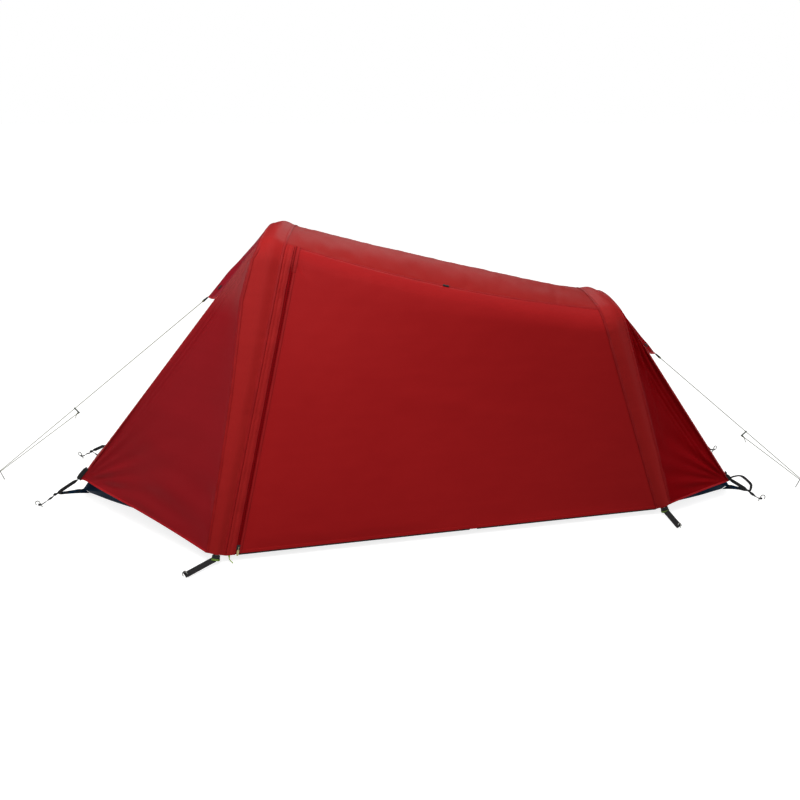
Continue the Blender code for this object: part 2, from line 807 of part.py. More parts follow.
def build_near_side():
    """The near side behind the door's fold line, up to the roof seam."""
    columns = 15
    rows = 9
    back = -HINGE_SIDE * FOLD_GAP
    foot, rear = hem_line(NEAR)
    sleeve_corner = front_hoop.edge(LEG_STEPS, 1) + door_plane.along * SEW_GAP * 2
    fold_top = door_plane.hinge_top + back + door_plane.along * SEW_GAP * 2
    fold_bottom = door_plane.hinge_bottom + (rear - foot).normalized() * FOLD_FOOT_GAP
    bottom = [sleeve_corner] + polyline([fold_top, fold_bottom], 8)
    bottom += polyline([fold_bottom, rear], columns - 8)[1:]
    shares = [column / (columns - 1) for column in range(columns)]
    top = [seam_point(share, NEAR, -SEW_GAP) for share in shares]
    left_line = hoop_edge(front_hoop, range(LEG_STEPS, SEAM_STEP + 1), 1)
    left_line[0] = sleeve_corner
    left_line[-1] = top[0]
    right_line = hoop_edge(rear_hoop, range(0, SEAM_STEP + 1), -1)
    right_line[-1] = top[-1]
    left = polyline(left_line, rows)
    right = polyline(right_line, rows)
    grid = []
    for row in range(rows):
        v = row / (rows - 1)
        line = []
        for column in range(columns):
            u = shares[column]
            upward = lerp(bottom[column], top[column], v)
            first = left[row] - lerp(bottom[0], top[0], v)
            last = right[row] - lerp(bottom[-1], top[-1], v)
            point = upward + first * max(0.0, 1 - u * NEAR_FRONT_FADE)
            point += last * max(0.0, 1 - (1 - u) * NEAR_REAR_FADE)
            point += side_inward(NEAR) * SIDE_SAG * 16 * u * (1 - u) * v * (1 - v) * u
            line.append(point)
        grid.append(line)
    sheet("fly_near_side", grid, FLY_THICKNESS, "fly")


def build_door():
    """The door flap: a triangle between the zip, the hem and the fold line."""
    rows = 9
    columns = 9
    zip_side = ZIP_OFFSET + TAPE_EDGE + ZIP_TAPE_WIDTH + SEW_GAP
    start = door_plane.at(zip_side, door_plane.hem_along(zip_side))
    end = door_plane.at(zip_side, door_plane.top * DOOR_EDGE_SHARE)
    toward_zip = (start - door_plane.hinge_bottom).normalized()
    fold_start = door_plane.hinge_bottom + toward_zip * FOLD_FOOT_GAP
    fold_end = door_plane.hinge_top + HINGE_SIDE * FOLD_GAP
    grid = []
    for row in range(rows):
        v = DOOR_TOP_SHARE * row / (rows - 1)
        left = lerp(start, end, v)
        right = lerp(fold_start, fold_end, v)
        line = []
        for column in range(columns):
            u = column / (columns - 1)
            dip = SIDE_SAG * 4 * u * (1 - u) * sin(pi * v)
            line.append(lerp(left, right, u) - door_plane.out * dip)
        grid.append(line)
    door = sheet("fly_door", grid, FLY_THICKNESS, "fly")
    set_origin(door, door_plane.hinge_top)


def comb_outline(root, tip, spine, bottom, top, first):
    """A strip of zip tape with teeth along one edge, in the door plane's side and along."""
    outline = [(spine, bottom), (root, bottom)]
    place = first
    while place + TOOTH_LENGTH < top - TOOTH_LENGTH:
        outline += [(root, place), (tip, place + TOOTH_LENGTH * TOOTH_TAPER),
                    (tip, place + TOOTH_LENGTH * (1 - TOOTH_TAPER)), (root, place + TOOTH_LENGTH)]
        place += TOOTH_PITCH
    outline += [(root, top), (spine, top)]
    return outline


def prism(name, outline, thickness, kind):
    """An outline in the door plane, given a thickness."""
    count = len(outline)
    points = [door_plane.at(side, along, thickness / 2) for side, along in outline]
    points += [door_plane.at(side, along, -thickness / 2) for side, along in outline]
    faces = [tuple(range(count)), tuple(range(count, 2 * count))]
    for place in range(count):
        after = (place + 1) % count
        faces.append((place, after, count + after, count + place))
    return make_object(name, mesh_from(name, points, faces), kind)


def build_zip():
    top = door_plane.top - SEW_GAP
    frame_root = ZIP_OFFSET - TAPE_EDGE
    frame_spine = frame_root - ZIP_TAPE_WIDTH
    outline = comb_outline(frame_root, ZIP_OFFSET + TOOTH_REACH, frame_spine, ZIP_BOTTOM - SLIDER_LENGTH,
                           top, ZIP_BOTTOM + TOOTH_PITCH / 2)
    prism("zip_tape_frame", outline, ZIP_TAPE_THICKNESS, "webbing")
    door_root = ZIP_OFFSET + TAPE_EDGE
    outline = comb_outline(door_root, ZIP_OFFSET - TOOTH_REACH, door_root + ZIP_TAPE_WIDTH, ZIP_BOTTOM,
                           top - FOLD_GAP, ZIP_BOTTOM + TOOTH_PITCH)
    door_tape = prism("zip_tape_door", outline, ZIP_TAPE_THICKNESS, "webbing")
    set_origin(door_tape, door_plane.hinge_top)


def build_storm_flap():
    """A strip sewn to the sleeve that covers the zip's tape and leaves the teeth clear."""
    edge = ZIP_OFFSET - SLIDER_HALF_WIDTH - SEW_GAP
    profile = ((SEW_GAP, 0.0), (STORM_FLAP_ROUND, STORM_FLAP_LIFT), (edge, STORM_FLAP_LIFT))
    rows = 7
    grid = []
    for row in range(rows):
        line = []
        for side, out in profile:
            along = lerp(door_plane.hem_along(side), door_plane.top - SEW_GAP, row / (rows - 1))
            line.append(door_plane.at(side, along, out))
        grid.append(line)
    sheet("storm_flap", grid, FLY_THICKNESS, "sleeve")


def build_slider():
    """Two plates round the teeth, joined past the end of the door's teeth, and a pin for the puller."""
    axes = (door_plane.side, door_plane.along, door_plane.out)
    middle = ZIP_BOTTOM + SLIDER_LENGTH * SLIDER_REST_SHARE
    inner = TOOTH_THICKNESS / 2 + SEAT_GAP
    plate = (2 * SLIDER_HALF_WIDTH, SLIDER_LENGTH, SLIDER_PLATE)
    shift = inner + SLIDER_PLATE / 2
    slider = block("zip_slider", door_plane.at(ZIP_OFFSET, middle, shift), axes, plate, "steel")
    lower = block("slider_lower_plate", door_plane.at(ZIP_OFFSET, middle, -shift), axes, plate)
    low_end = middle - SLIDER_LENGTH / 2
    web_start = TOOTH_REACH + SEAT_GAP
    web_width = SLIDER_HALF_WIDTH - web_start - SEAT_GAP
    web_length = ZIP_BOTTOM - 2 * SEAT_GAP - low_end
    web_size = (web_width, web_length, 2 * inner + SLIDER_PLATE)
    web_place = door_plane.at(ZIP_OFFSET + web_start + web_width / 2, low_end + SEAT_GAP + web_length / 2)
    web = block("slider_web", web_place, axes, web_size)
    pin_out = inner + SLIDER_PLATE + SLIDER_PIN_HEIGHT
    ear_gap = PULLER_THICKNESS / 2 + SEAT_GAP
    ears = []
    for side in (-1, 1):
        size = (EAR_THICKNESS, EAR_LENGTH, 2 * SLIDER_PIN_HEIGHT)
        place = door_plane.at(ZIP_OFFSET + side * (ear_gap + size[0] / 2), middle,
                              inner + SLIDER_PLATE / 2 + size[2] / 2)
        ears.append(block("slider_ear", place, axes, size))
    reach = ear_gap + SLIDER_PIN_BITE
    pin = rod("slider_pin", door_plane.at(ZIP_OFFSET - reach, middle, pin_out),
              door_plane.at(ZIP_OFFSET + reach, middle, pin_out), SLIDER_PIN_RADIUS, sides=8)
    set_origin(slider, door_plane.at(ZIP_OFFSET, middle))
    combine(slider, [lower, web] + ears + [pin], "UNION")
    return middle, pin_out


def build_puller(middle, pin_out):
    """A tab with an eye round the slider's pin, hanging down along the zip."""
    eye = SLIDER_PIN_RADIUS + SEAT_GAP
    half = PULLER_THICKNESS / 2

    def spot(side, along, out):
        return door_plane.at(ZIP_OFFSET + side, along, out)

    ring = []
    bore = []
    for step in range(PULLER_EYE_SIDES):
        angle = 2 * pi * step / PULLER_EYE_SIDES
        for line, radius in ((ring, PULLER_EYE_RADIUS), (bore, eye)):
            line.append((middle + radius * cos(angle), pin_out + radius * sin(angle)))
    rings = [[spot(side, *place) for place in ring] for side in (-half, half)]
    bores = [[spot(side, *place) for place in bore] for side in (-half, half)]
    puller = ring_loft("zip_puller", rings, "plastic", inner=bores)
    neck_start = middle - eye - SLIDER_PIN_BITE
    tab_start = neck_start - PULLER_NECK_LENGTH + PULLER_NECK_BITE
    tab_length = PULLER_LENGTH - PULLER_NECK_LENGTH + PULLER_NECK_BITE
    axes = (door_plane.side, door_plane.along, door_plane.out)
    neck_size = (PULLER_THICKNESS, PULLER_NECK_LENGTH, PULLER_THICKNESS)
    neck = block("puller_neck", spot(0, neck_start - PULLER_NECK_LENGTH / 2, pin_out), axes, neck_size)
    tab_size = (PULLER_WIDTH, tab_length, PULLER_THICKNESS)
    tab = block("puller_tab", spot(0, tab_start - tab_length / 2, pin_out), axes, tab_size)
    combine(puller, [neck, tab], "UNION")
    set_origin(puller, spot(0, middle, pin_out))


def build_toggle():
    """A small grooved barrel that lies on the middle of the near roof seam."""
    start = seam_point(0.5, NEAR)
    out = Vector(TOGGLE_OUT)
    along = (seam_point(0.5 + TOGGLE_SPAN, NEAR) - seam_point(0.5 - TOGGLE_SPAN, NEAR)).normalized()
    out = (out - along * out.dot(along)).normalized()
    centre = start + out * (TOGGLE_RADIUS + FLY_THICKNESS)
    cross = along.cross(out)
    rings = [circle(centre + along * TOGGLE_LENGTH * place, out, cross, TOGGLE_RADIUS * size, 10)
             for place, size in TOGGLE_PROFILE]
    ring_loft("door_toggle", rings, "plastic")


class EndFace:
    """One end of the flysheet: where its edges and corners lie."""

    def __init__(self, hoop, facing, corner, tip):
        self.hoop = hoop
        self.facing = facing
        self.tip = tip
        self.shoulder = {}
        self.corner = {}
        self.hood_end = {}
        for side in (NEAR, FAR):
            index = SEAM_STEP if side == NEAR else hoop.mirror_index(SEAM_STEP)
            self.shoulder[side] = hoop.edge(index, facing)
            self.corner[side] = Vector((corner.x, corner.y * side, corner.z))
            self.hood_end[side] = lerp(self.shoulder[side], self.corner[side], HOOD_SHARE)

    def inward(self):
        return Vector((-self.facing * END_INWARD[0], 0, -END_INWARD[1]))


front_end = EndFace(front_hoop, -1, FRONT_CORNER, FRONT_HOOD_TIP)
rear_end = EndFace(rear_hoop, 1, REAR_CORNER, REAR_HOOD_TIP)


def hem_rise(line, rise):
    """Lift the middle of a hem line, as fabric does between two fixed points."""
    count = len(line) - 1
    return [point + UP * rise * 4 * (step / count) * (1 - step / count) for step, point in enumerate(line)]


def build_end_side(name, end, side):
    """The three-cornered panel between a hoop's leg and the edge of the end face."""
    hoop = end.hoop
    columns = 9
    if side == NEAR:
        indices = list(range(0, SEAM_STEP + 1))
    else:
        indices = list(range(hoop.last, hoop.mirror_index(SEAM_STEP) - 1, -1))
    left = hoop_edge(hoop, indices, end.facing)
    lengths = [0.0]
    for a, b in zip(left, left[1:]):
        lengths.append(lengths[-1] + (b - a).length)
    edge = []
    for length in lengths:
        share = END_EDGE_SHARE * length / lengths[-1]
        edge.append(lerp(end.corner[side], end.shoulder[side], share))
    right = pull(edge, left, SEW_GAP)
    bottom = hem_rise([lerp(left[0], right[0], step / (columns - 1)) for step in range(columns)],
                      END_HEM_RISE)
    top = [lerp(left[-1], right[-1], step / (columns - 1)) for step in range(columns)]
    ahead, aside, down = END_SIDE_INWARD
    inward = Vector((-end.facing * ahead, -side * aside, -down)).normalized()
    sheet(name, coons(left, right, bottom, top, END_SAG, inward), FLY_THICKNESS, "fly")


def build_end_face(name, end):
    """The sloping panel between the two end corners, up to the vent."""
    rows = 8
    columns = 9
    tops = [pull([end.hood_end[side]], [end.corner[side]], SEW_GAP)[0] for side in (NEAR, FAR)]
    near = [lerp(end.corner[NEAR], tops[0], row / (rows - 1)) for row in range(rows)]
    far = [lerp(end.corner[FAR], tops[1], row / (rows - 1)) for row in range(rows)]
    left = pull(near, far, SEW_GAP)
    right = pull(far, near, SEW_GAP)
    bottom = hem_rise([lerp(left[0], right[0], step / (columns - 1)) for step in range(columns)],
                      END_HEM_RISE)
    top = [lerp(left[-1], right[-1], step / (columns - 1)) for step in range(columns)]
    sheet(name, coons(left, right, bottom, top, END_SAG, end.inward()), FLY_THICKNESS, "fly")


def crown_indices(hoop):
    return range(SEAM_STEP, hoop.mirror_index(SEAM_STEP) + 1)


def build_hood(name, end):
    """The beak over the vent, drawn out to its tip by the guyline."""
    hoop = end.hoop
    rows = 6
    crown = hoop_edge(hoop, crown_indices(hoop), end.facing)
    count = len(crown)
    half = count // 2 + 1
    sides = []
    for side, other in ((NEAR, FAR), (FAR, NEAR)):
        low = pull([end.hood_end[side]], [end.shoulder[side]], HOOD_LIFT)[0]
        line = [lerp(low, end.shoulder[side], row / (rows - 1)) for row in range(rows)]
        across = [lerp(end.hood_end[other], end.shoulder[other], row / (rows - 1)) for row in range(rows)]
        sides.append(pull(line, across, SEW_GAP))
    lip = polyline([sides[0][0], end.tip], half) + polyline([end.tip, sides[1][0]], half)[1:]
    crown[0] = sides[0][-1]
    crown[-1] = sides[1][-1]
    sheet(name, coons(sides[0], sides[1], lip, crown), FLY_THICKNESS, "fly")


def build_vent_mesh(name, end):
    """Netting behind the hood, from the crown down to the end panel's top edge."""
    hoop = end.hoop
    rows = 5
    indices = list(crown_indices(hoop))[1:-1]
    crown = [hoop.edge(index, end.facing, VENT_MESH_GAP) + end.inward() * VENT_MESH_DROP
             for index in indices]
    near_end = lerp(end.hood_end[NEAR], end.hood_end[FAR], VENT_SILL_INSET)
    far_end = lerp(end.hood_end[FAR], end.hood_end[NEAR], VENT_SILL_INSET)
    raise_sill = (end.shoulder[NEAR] - end.hood_end[NEAR]).normalized() * SEW_GAP * 2
    inset = end.inward() * VENT_MESH_INSET
    near_end = near_end + raise_sill + inset
    far_end = far_end + raise_sill + inset
    sill = [lerp(near_end, far_end, step / (len(crown) - 1)) for step in range(len(crown))]
    left = []
    right = []
    for row in range(rows):
        v = row / (rows - 1)
        dip = end.inward() * VENT_SIDE_SAG * v * (1 - v)
        left.append(lerp(near_end, crown[0], v) + dip)
        right.append(lerp(far_end, crown[-1], v) + dip)
    sheet(name, coons(left, right, sill, crown, VENT_MESH_SAG, end.inward()), VENT_MESH_THICKNESS, "mesh")


def build_fly():
    build_roof()
    build_far_side()
    build_near_side()
    build_door()
    build_zip()
    build_storm_flap()
    build_puller(*build_slider())
    build_toggle()
    for prefix, end in (("front", front_end), ("rear", rear_end)):
        build_end_side("fly_" + prefix + "_end_near", end, NEAR)
        build_end_side("fly_" + prefix + "_end_far", end, FAR)
        build_end_face("fly_" + prefix + "_end_face", end)
        build_hood(prefix + "_hood", end)
        build_vent_mesh(prefix + "_vent_mesh", end)


def tub_outline():
    """Corners of the floor, and of the top of its wall, from the near front corner round."""
    low_wall = TUB_WALL * TUB_SHOULDER_WALL
    share = TUB_SHOULDER_SHARE
    front_half = lerp(TUB_FRONT_END_HALF, TUB_FRONT_HALF, share)
    rear_half = lerp(TUB_REAR_END_HALF, TUB_REAR_HALF, share)
    return [(TUB_FRONT_X, TUB_FRONT_END_HALF, TUB_CORNER_WALL, -TUB_CORNER_PULL),
            (lerp(TUB_FRONT_X, TUB_FRONT_HOOP_X, share), front_half, low_wall, 0.0),
            (TUB_FRONT_HOOP_X, TUB_FRONT_HALF, TUB_WALL, 0.0),
            (TUB_REAR_HOOP_X, TUB_REAR_HALF, TUB_WALL, 0.0),
            (lerp(TUB_REAR_X, TUB_REAR_HOOP_X, share), rear_half, low_wall, 0.0),
            (TUB_REAR_X, TUB_REAR_END_HALF, TUB_CORNER_WALL, TUB_CORNER_PULL)]


def wall_top(x, y, height, shift, side):
    """A corner of the tub's wall, drawn out along the tent and aside."""
    return Vector((x + shift, side * (y + abs(shift) * TUB_PULL_ASIDE), height))


def build_tub():
    half = tub_outline()
    floor_z = FLOOR_THICKNESS / 2
    floor = []
    wall = []
    for side, corners in ((NEAR, half), (FAR, list(reversed(half)))):
        for x, y, height, shift in corners:
            floor.append(Vector((x, side * y, floor_z)))
            wall.append(wall_top(x, y, height, shift, side))
    count = len(floor)
    faces = [tuple(range(count))]
    for place in range(count):
        after = (place + 1) % count
        faces.append((place, after, count + after, count + place))
    mesh = mesh_from("groundsheet_tub", floor + wall, faces)
    thicken(make_object("groundsheet_tub", mesh, "floor"), FLOOR_THICKNESS)


def inner_base(x_share, side):
    """A point just above the tub's wall between the hoops."""
    start = Vector((TUB_FRONT_HOOP_X, side * TUB_FRONT_HALF, TUB_WALL))
    end = Vector((TUB_REAR_HOOP_X, side * TUB_REAR_HALF, TUB_WALL))
    return lerp(start, end, x_share) + UP * HANG_GAP


def inner_crown(x_share, side):
    return lerp(mirrored(INNER_FRONT, side), mirrored(INNER_REAR, side), x_share)


def near_wall_point(u, v):
    top = inner_crown(u, NEAR) - UP * SEW_GAP
    return lerp(inner_base(u, NEAR), top, v)


def build_inner_walls():
    u_steps = [0, WALL_FRONT_COLUMN, INNER_DOOR_START, *DOOR_COLUMNS, INNER_DOOR_END, *WALL_REAR_COLUMNS, 1]
    v_steps = [0, INNER_DOOR_SILL, *DOOR_ROWS, INNER_DOOR_TOP, 1]
    grid = [[near_wall_point(u, v) for u in u_steps] for v in v_steps]
    sheet("inner_near_wall", grid, INNER_THICKNESS, "inner", hole=(1, 4, 2, 5))
    wall_height = (near_wall_point(0, 1) - near_wall_point(0, 0)).length
    wall_length = (near_wall_point(1, 0) - near_wall_point(0, 0)).length
    gap_v = INNER_DOOR_GAP / wall_height
    gap_u = INNER_DOOR_GAP / wall_length
    door_u = [INNER_DOOR_START + gap_u, *DOOR_COLUMNS, INNER_DOOR_END - gap_u]
    door_v = [INNER_DOOR_SILL + gap_v, *DOOR_ROWS, INNER_DOOR_TOP - gap_v]
    grid = [[near_wall_point(u, v) for u in door_u] for v in door_v]
    door = sheet("inner_door", grid, INNER_THICKNESS, "mesh")
    set_origin(door, near_wall_point(INNER_DOOR_START, INNER_DOOR_SILL))


def build_inner_canopy():
    """The far wall and the roof of the inner tent in one piece."""
    columns = 9
    grid = []
    profile = [("wall", share) for share in CANOPY_WALL_ROWS]
    profile += [("roof", share) for share in CANOPY_ROOF_ROWS]
    for kind, share in profile:
        line = []
        for column in range(columns):
            u = column / (columns - 1)
            if kind == "wall":
                point = lerp(inner_base(u, FAR), inner_crown(u, FAR), share)
            else:
                point = lerp(inner_crown(u, FAR), inner_crown(u, NEAR), share)
                point += UP * INNER_DOME * 4 * share * (1 - share)
            line.append(point)
        grid.append(line)
    sheet("inner_far_wall", grid, INNER_THICKNESS, "inner")


def build_inner_end(name, hoop_share, facing):
    """The inner tent's end, round the end corners of the tub."""
    outline = tub_outline()
    near_corners = outline[:3] if facing < 0 else list(reversed(outline[3:]))
    base = [wall_top(*corner, NEAR) for corner in near_corners]
    base.reverse()
    lift = UP * (SEW_GAP + FLOOR_THICKNESS / 2)
    shift_out = Vector((facing * (HANG_GAP + INNER_THICKNESS / 2), 0, 0))
    bottom = [point + lift for point in base]
    bottom[0] = bottom[0] + shift_out
    bottom += [mirrored(point, -1) for point in reversed(bottom)]
    crown_near = inner_crown(hoop_share, NEAR) + shift_out
    crown_far = inner_crown(hoop_share, FAR) + shift_out
    top = [lerp(crown_near, crown_far, share) + UP * INNER_DOME * 4 * share * (1 - share)
           for share in INNER_END_COLUMNS]
    rows = 5
    grid = [[lerp(low, high, row / (rows - 1)) for low, high in zip(bottom, top)] for row in range(rows)]
    sheet(name, grid, INNER_THICKNESS, "inner")


def build_inner():
    build_tub()
    build_inner_walls()
    build_inner_canopy()
    build_inner_end("inner_front_end", 0, -1)
    build_inner_end("inner_rear_end", 1, 1)


def peg_axis(ground, away):
    """The line of a peg's shaft: its head leans away from the tent."""
    flat = Vector((away.x, away.y, 0)).normalized()
    return (UP * cos(PEG_TILT) + flat * sin(PEG_TILT)).normalized(), flat


def build_peg(name, ground, away, neck):
    axis, flat = peg_axis(ground, away)
    bend = (flat - axis * flat.dot(axis)).normalized()
    points = [ground - axis * PEG_DEPTH, ground, ground + axis * neck]
    centre = points[-1] + bend * PEG_HOOK_RADIUS
    for step in range(1, PEG_HOOK_STEPS + 1):
        angle = pi * step / PEG_HOOK_STEPS
        points.append(centre - bend * PEG_HOOK_RADIUS * cos(angle) + axis * PEG_HOOK_RADIUS * sin(angle))
    points.append(points[-1] - axis * PEG_HOOK_RADIUS * PEG_TIP_SHARE)
    peg = wire(name, points, PEG_RADIUS, "alloy", bevel=1)
    set_origin(peg, ground)


def strap(name, path, side, width, thickness=WEBBING_THICKNESS):
    """Flat webbing along a path, its width kept along one direction."""
    rings = []
    for place, point in enumerate(path):
        before = path[max(place - 1, 0)]
        after = path[min(place + 1, len(path) - 1)]
        direction = (after - before).normalized()
        wide = (side - direction * side.dot(direction)).normalized()
        thin = direction.cross(wide).normalized()
        a = wide * width / 2
        b = thin * thickness / 2
        rings.append([point - a - b, point + a - b, point + a + b, point - a + b])
    return ring_loft(name, rings, "webbing", smooth=False)


def peg_eye(ground, axis, height):
    """A cutter for the hole where a peg goes through webbing."""
    radius = PEG_RADIUS + PEG_EYE_CLEARANCE
    return rod("peg_eye", ground + axis * (height - EYE_CUT), ground + axis * (height + EYE_CUT), radius)


def build_foot_strap(name, hoop, side, peg):
    """Webbing from the pole's foot cup to a peg. The cup holds the pole's end."""
    leg = hoop.leg_direction(side)
    outward = hoop.leg_outward(side)
    centre = hoop.leg_point(POLE_START, side) + outward * POLE_LIFT
    away = Vector((peg.x - centre.x, peg.y - centre.y, 0)).normalized()
    axis, _ = peg_axis(peg, away)
    end = peg + axis * EYE_HEIGHT
    bottom = centre - leg * (CUP_FLOOR + SEAT_GAP)
    cross = leg.cross(outward)
    size = (2 * CUP_HALF, 2 * CUP_HALF * CUP_DEPTH_SHARE, CUP_HEIGHT)
    base = block("pole_cup", bottom + leg * size[2] / 2, (cross, outward, leg), size)
    start = bottom + leg * FOOT_STRAP_RISE
    level = start + away * FOOT_STRAP_LEVEL
    wide = away.cross(UP)
    path = [start, level, lerp(level, end, 0.5), end - away * FOOT_EYE_BEFORE, end + away * FOOT_EYE_BEYOND]
    webbing = strap(name, path, wide, FOOT_WEBBING)
    hole = rod("cup_bore", centre - leg * SEAT_GAP, centre + leg * CUP_BORE_LENGTH,
               POLE_RADIUS + CUP_CLEARANCE, sides=12)
    combine(webbing, [base], "UNION")
    combine(webbing, [hole, peg_eye(peg, axis, EYE_HEIGHT)], "DIFFERENCE")


def corner_frame(end, side):
    """A corner buckle's place and directions: down the end's edge, across, and out from the end face."""
    corner = end.corner[side]
    direction = (corner - end.shoulder[side]).normalized()
    across = SIDEWAYS * -side
    across = (across - direction * across.dot(direction)).normalized()
    outward = direction.cross(across).normalized()
    if outward.x * end.facing < 0:
        outward = -outward
    start = corner - direction * (BUCKLE_LENGTH + BUCKLE_RISE)
    start += across * BUCKLE_WIDTH / 2 + outward * BUCKLE_LIFT
    return start, direction, across, outward


def build_buckle(name, end, side):
    """A ladder-lock: a frame with a middle bar, so webbing can be drawn tight through it."""
    start, *axes = corner_frame(end, side)
    direction, wide, top = axes
    centre = start + direction * BUCKLE_LENGTH / 2
    frame = block(name, centre, axes, (BUCKLE_LENGTH, BUCKLE_WIDTH, BUCKLE_THICKNESS))
    slot = (BUCKLE_LENGTH - 3 * BUCKLE_BAR) / 2
    inside = BUCKLE_WIDTH - 2 * BUCKLE_BAR
    cutters = []
    for shift in (-1, 1):
        place = centre + direction * shift * (slot + BUCKLE_BAR) / 2
        cutters.append(block("buckle_slot", place, axes, (slot, inside, 2 * BUCKLE_THICKNESS)))
    tilt = (top * LIP_TILT - direction).normalized()
    lip_place = start - direction * LIP_BACK + top * LIP_UP
    lip_size = (BUCKLE_LIP, BUCKLE_WIDTH - LIP_NARROWER, LIP_THICKNESS)
    lip = block("buckle_lip", lip_place, (tilt, wide, tilt.cross(wide)), lip_size)
    combine(frame, [lip], "UNION")
    combine(frame, cutters, "DIFFERENCE")


def build_corner_strap(name, end, side, peg, tub_corner):
    """Webbing threaded through the buckle and down to the peg, with a tail to the floor's corner."""
    start, direction, wide, top = corner_frame(end, side)
    away = Vector((peg.x - start.x, peg.y - start.y, 0)).normalized()
    axis, _ = peg_axis(peg, away)
    slot = (BUCKLE_LENGTH - 3 * BUCKLE_BAR) / 2
    clear = BUCKLE_THICKNESS / 2 + WEBBING_THICKNESS / 2 + 2 * SEAT_GAP
    first = BUCKLE_BAR + slot / 2
    second = first + slot + BUCKLE_BAR

    def spot(along, high):
        return start + direction * along + top * high

    eye = peg + axis * EYE_HEIGHT
    turn = spot(BUCKLE_LENGTH + BUCKLE_RISE + THREAD_EXIT, clear)
    below = first - THREAD_BACK
    path = [spot(below, -clear - THREAD_BACK), spot(below, -clear * THREAD_ENTRY), spot(first, clear),
            spot(second, clear), spot(BUCKLE_LENGTH + THREAD_EXIT, clear), turn,
            eye - away * CORNER_EYE_BEFORE, eye + away * CORNER_EYE_BEYOND]
    webbing = strap(name, path, wide, CORNER_WEBBING)
    join = lerp(turn, eye, TAIL_SHARE)
    tail = strap("floor_tail", [join, tub_corner], wide, CORNER_WEBBING * TAIL_WIDTH_SHARE)
    combine(webbing, [tail], "UNION")
    combine(webbing, [peg_eye(peg, axis, EYE_HEIGHT)], "DIFFERENCE")


def build_anchors():
    for prefix, end, corner_peg, foot_peg, tub_x, tub_half in (
            ("front", front_end, FRONT_CORNER_PEG, FRONT_FOOT_PEG, TUB_FRONT_X, TUB_FRONT_END_HALF),
            ("rear", rear_end, REAR_CORNER_PEG, REAR_FOOT_PEG, TUB_REAR_X, TUB_REAR_END_HALF)):
        for label, side in (("near", NEAR), ("far", FAR)):
            peg = mirrored(corner_peg, side)
            name = prefix + "_" + label
            shift = end.facing * TUB_CORNER_PULL
            tub_corner = wall_top(tub_x, tub_half, TUB_CORNER_WALL - TAIL_DROP, shift, side)
            tub_corner.x += end.facing * HANG_GAP
            build_buckle("corner_buckle_" + name, end, side)
            build_corner_strap("corner_strap_" + name, end, side, peg, tub_corner)
            build_peg("corner_peg_" + name, peg, peg - end.corner[side], CORNER_PEG_NECK)
            foot = end.hoop.leg_point(POLE_START, side)
            peg = mirrored(foot_peg, side)
            build_foot_strap("foot_strap_" + name, end.hoop, side, peg)
            build_peg("foot_peg_" + name, peg, peg - foot, CORNER_PEG_NECK)


def build_guyline(prefix, end, ground):
    """One cord: from the hood's tip through the runner, round the peg and back to the runner."""
    away = ground - Vector((end.tip.x, end.tip.y, 0))
    axis, _ = peg_axis(ground, away)
    build_peg(prefix + "_guy_peg", ground, away, GUY_PEG_NECK)
    anchor = ground + axis * (GUY_PEG_NECK - GUY_CORD_DROP)
    ring = PEG_RADIUS + SEAT_GAP + CORD_RADIUS
    toward = (anchor - end.tip).normalized()
    around = (toward - axis * toward.dot(axis)).normalized()
    beside = axis.cross(around).normalized()
    loop_start = anchor + beside * ring + axis * LOOP_RISE
    loop_end = anchor - beside * ring - axis * LOOP_RISE
    direction = (loop_start - end.tip).normalized()
    wide = direction.cross(UP).normalized()
    tall = wide.cross(direction).normalized()
    centre = lerp(end.tip, loop_start, RUNNER_SHARE) - tall * RUNNER_HOLE_SPACING
    size = (RUNNER_THICKNESS, RUNNER_WIDTH, RUNNER_LENGTH)
    runner = block(prefix + "_guy_runner", centre, (direction, wide, tall), size)
    set_origin(runner, centre)
    rim = runner.modifiers.new("rounded", "BEVEL")
    rim.width = RUNNER_ROUND
    rim.segments = 2
    holes = []
    for place in (-1, 0, 1):
        middle = centre + tall * place * RUNNER_HOLE_SPACING
        holes.append(rod("runner_hole", middle - direction * RUNNER_CUT, middle + direction * RUNNER_CUT,
                         CORD_RADIUS + RUNNER_CLEARANCE))
    combine(runner, holes, "DIFFERENCE")
    tip = end.tip + direction * (FLY_THICKNESS / 2 + SEAT_GAP)
    knot = centre - tall * RUNNER_HOLE_SPACING + direction * (RUNNER_THICKNESS / 2 + SEAT_GAP)
    path = polyline([tip, loop_start], CORD_POINTS)
    for step in range(1, LOOP_STEPS):
        angle = pi * step / LOOP_STEPS
        path.append(anchor + beside * ring * cos(angle) + around * ring * sin(angle)
                    + axis * LOOP_RISE * cos(angle))
    path += polyline([loop_end, knot], CORD_POINTS // 2)
    wire(prefix + "_guyline", path, CORD_RADIUS, "cord")


def main():
    clear_scene()
    build_frame()
    build_fly()
    build_inner()
    build_anchors()
    build_guyline("front", front_end, FRONT_GUY_PEG)
    build_guyline("rear", rear_end, REAR_GUY_PEG)


main()
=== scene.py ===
"""Looks for the two-hoop tunnel tent: fine cloth, webbing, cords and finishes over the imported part."""

import json
from contextlib import contextmanager
from math import cos, exp, pi, radians, sin

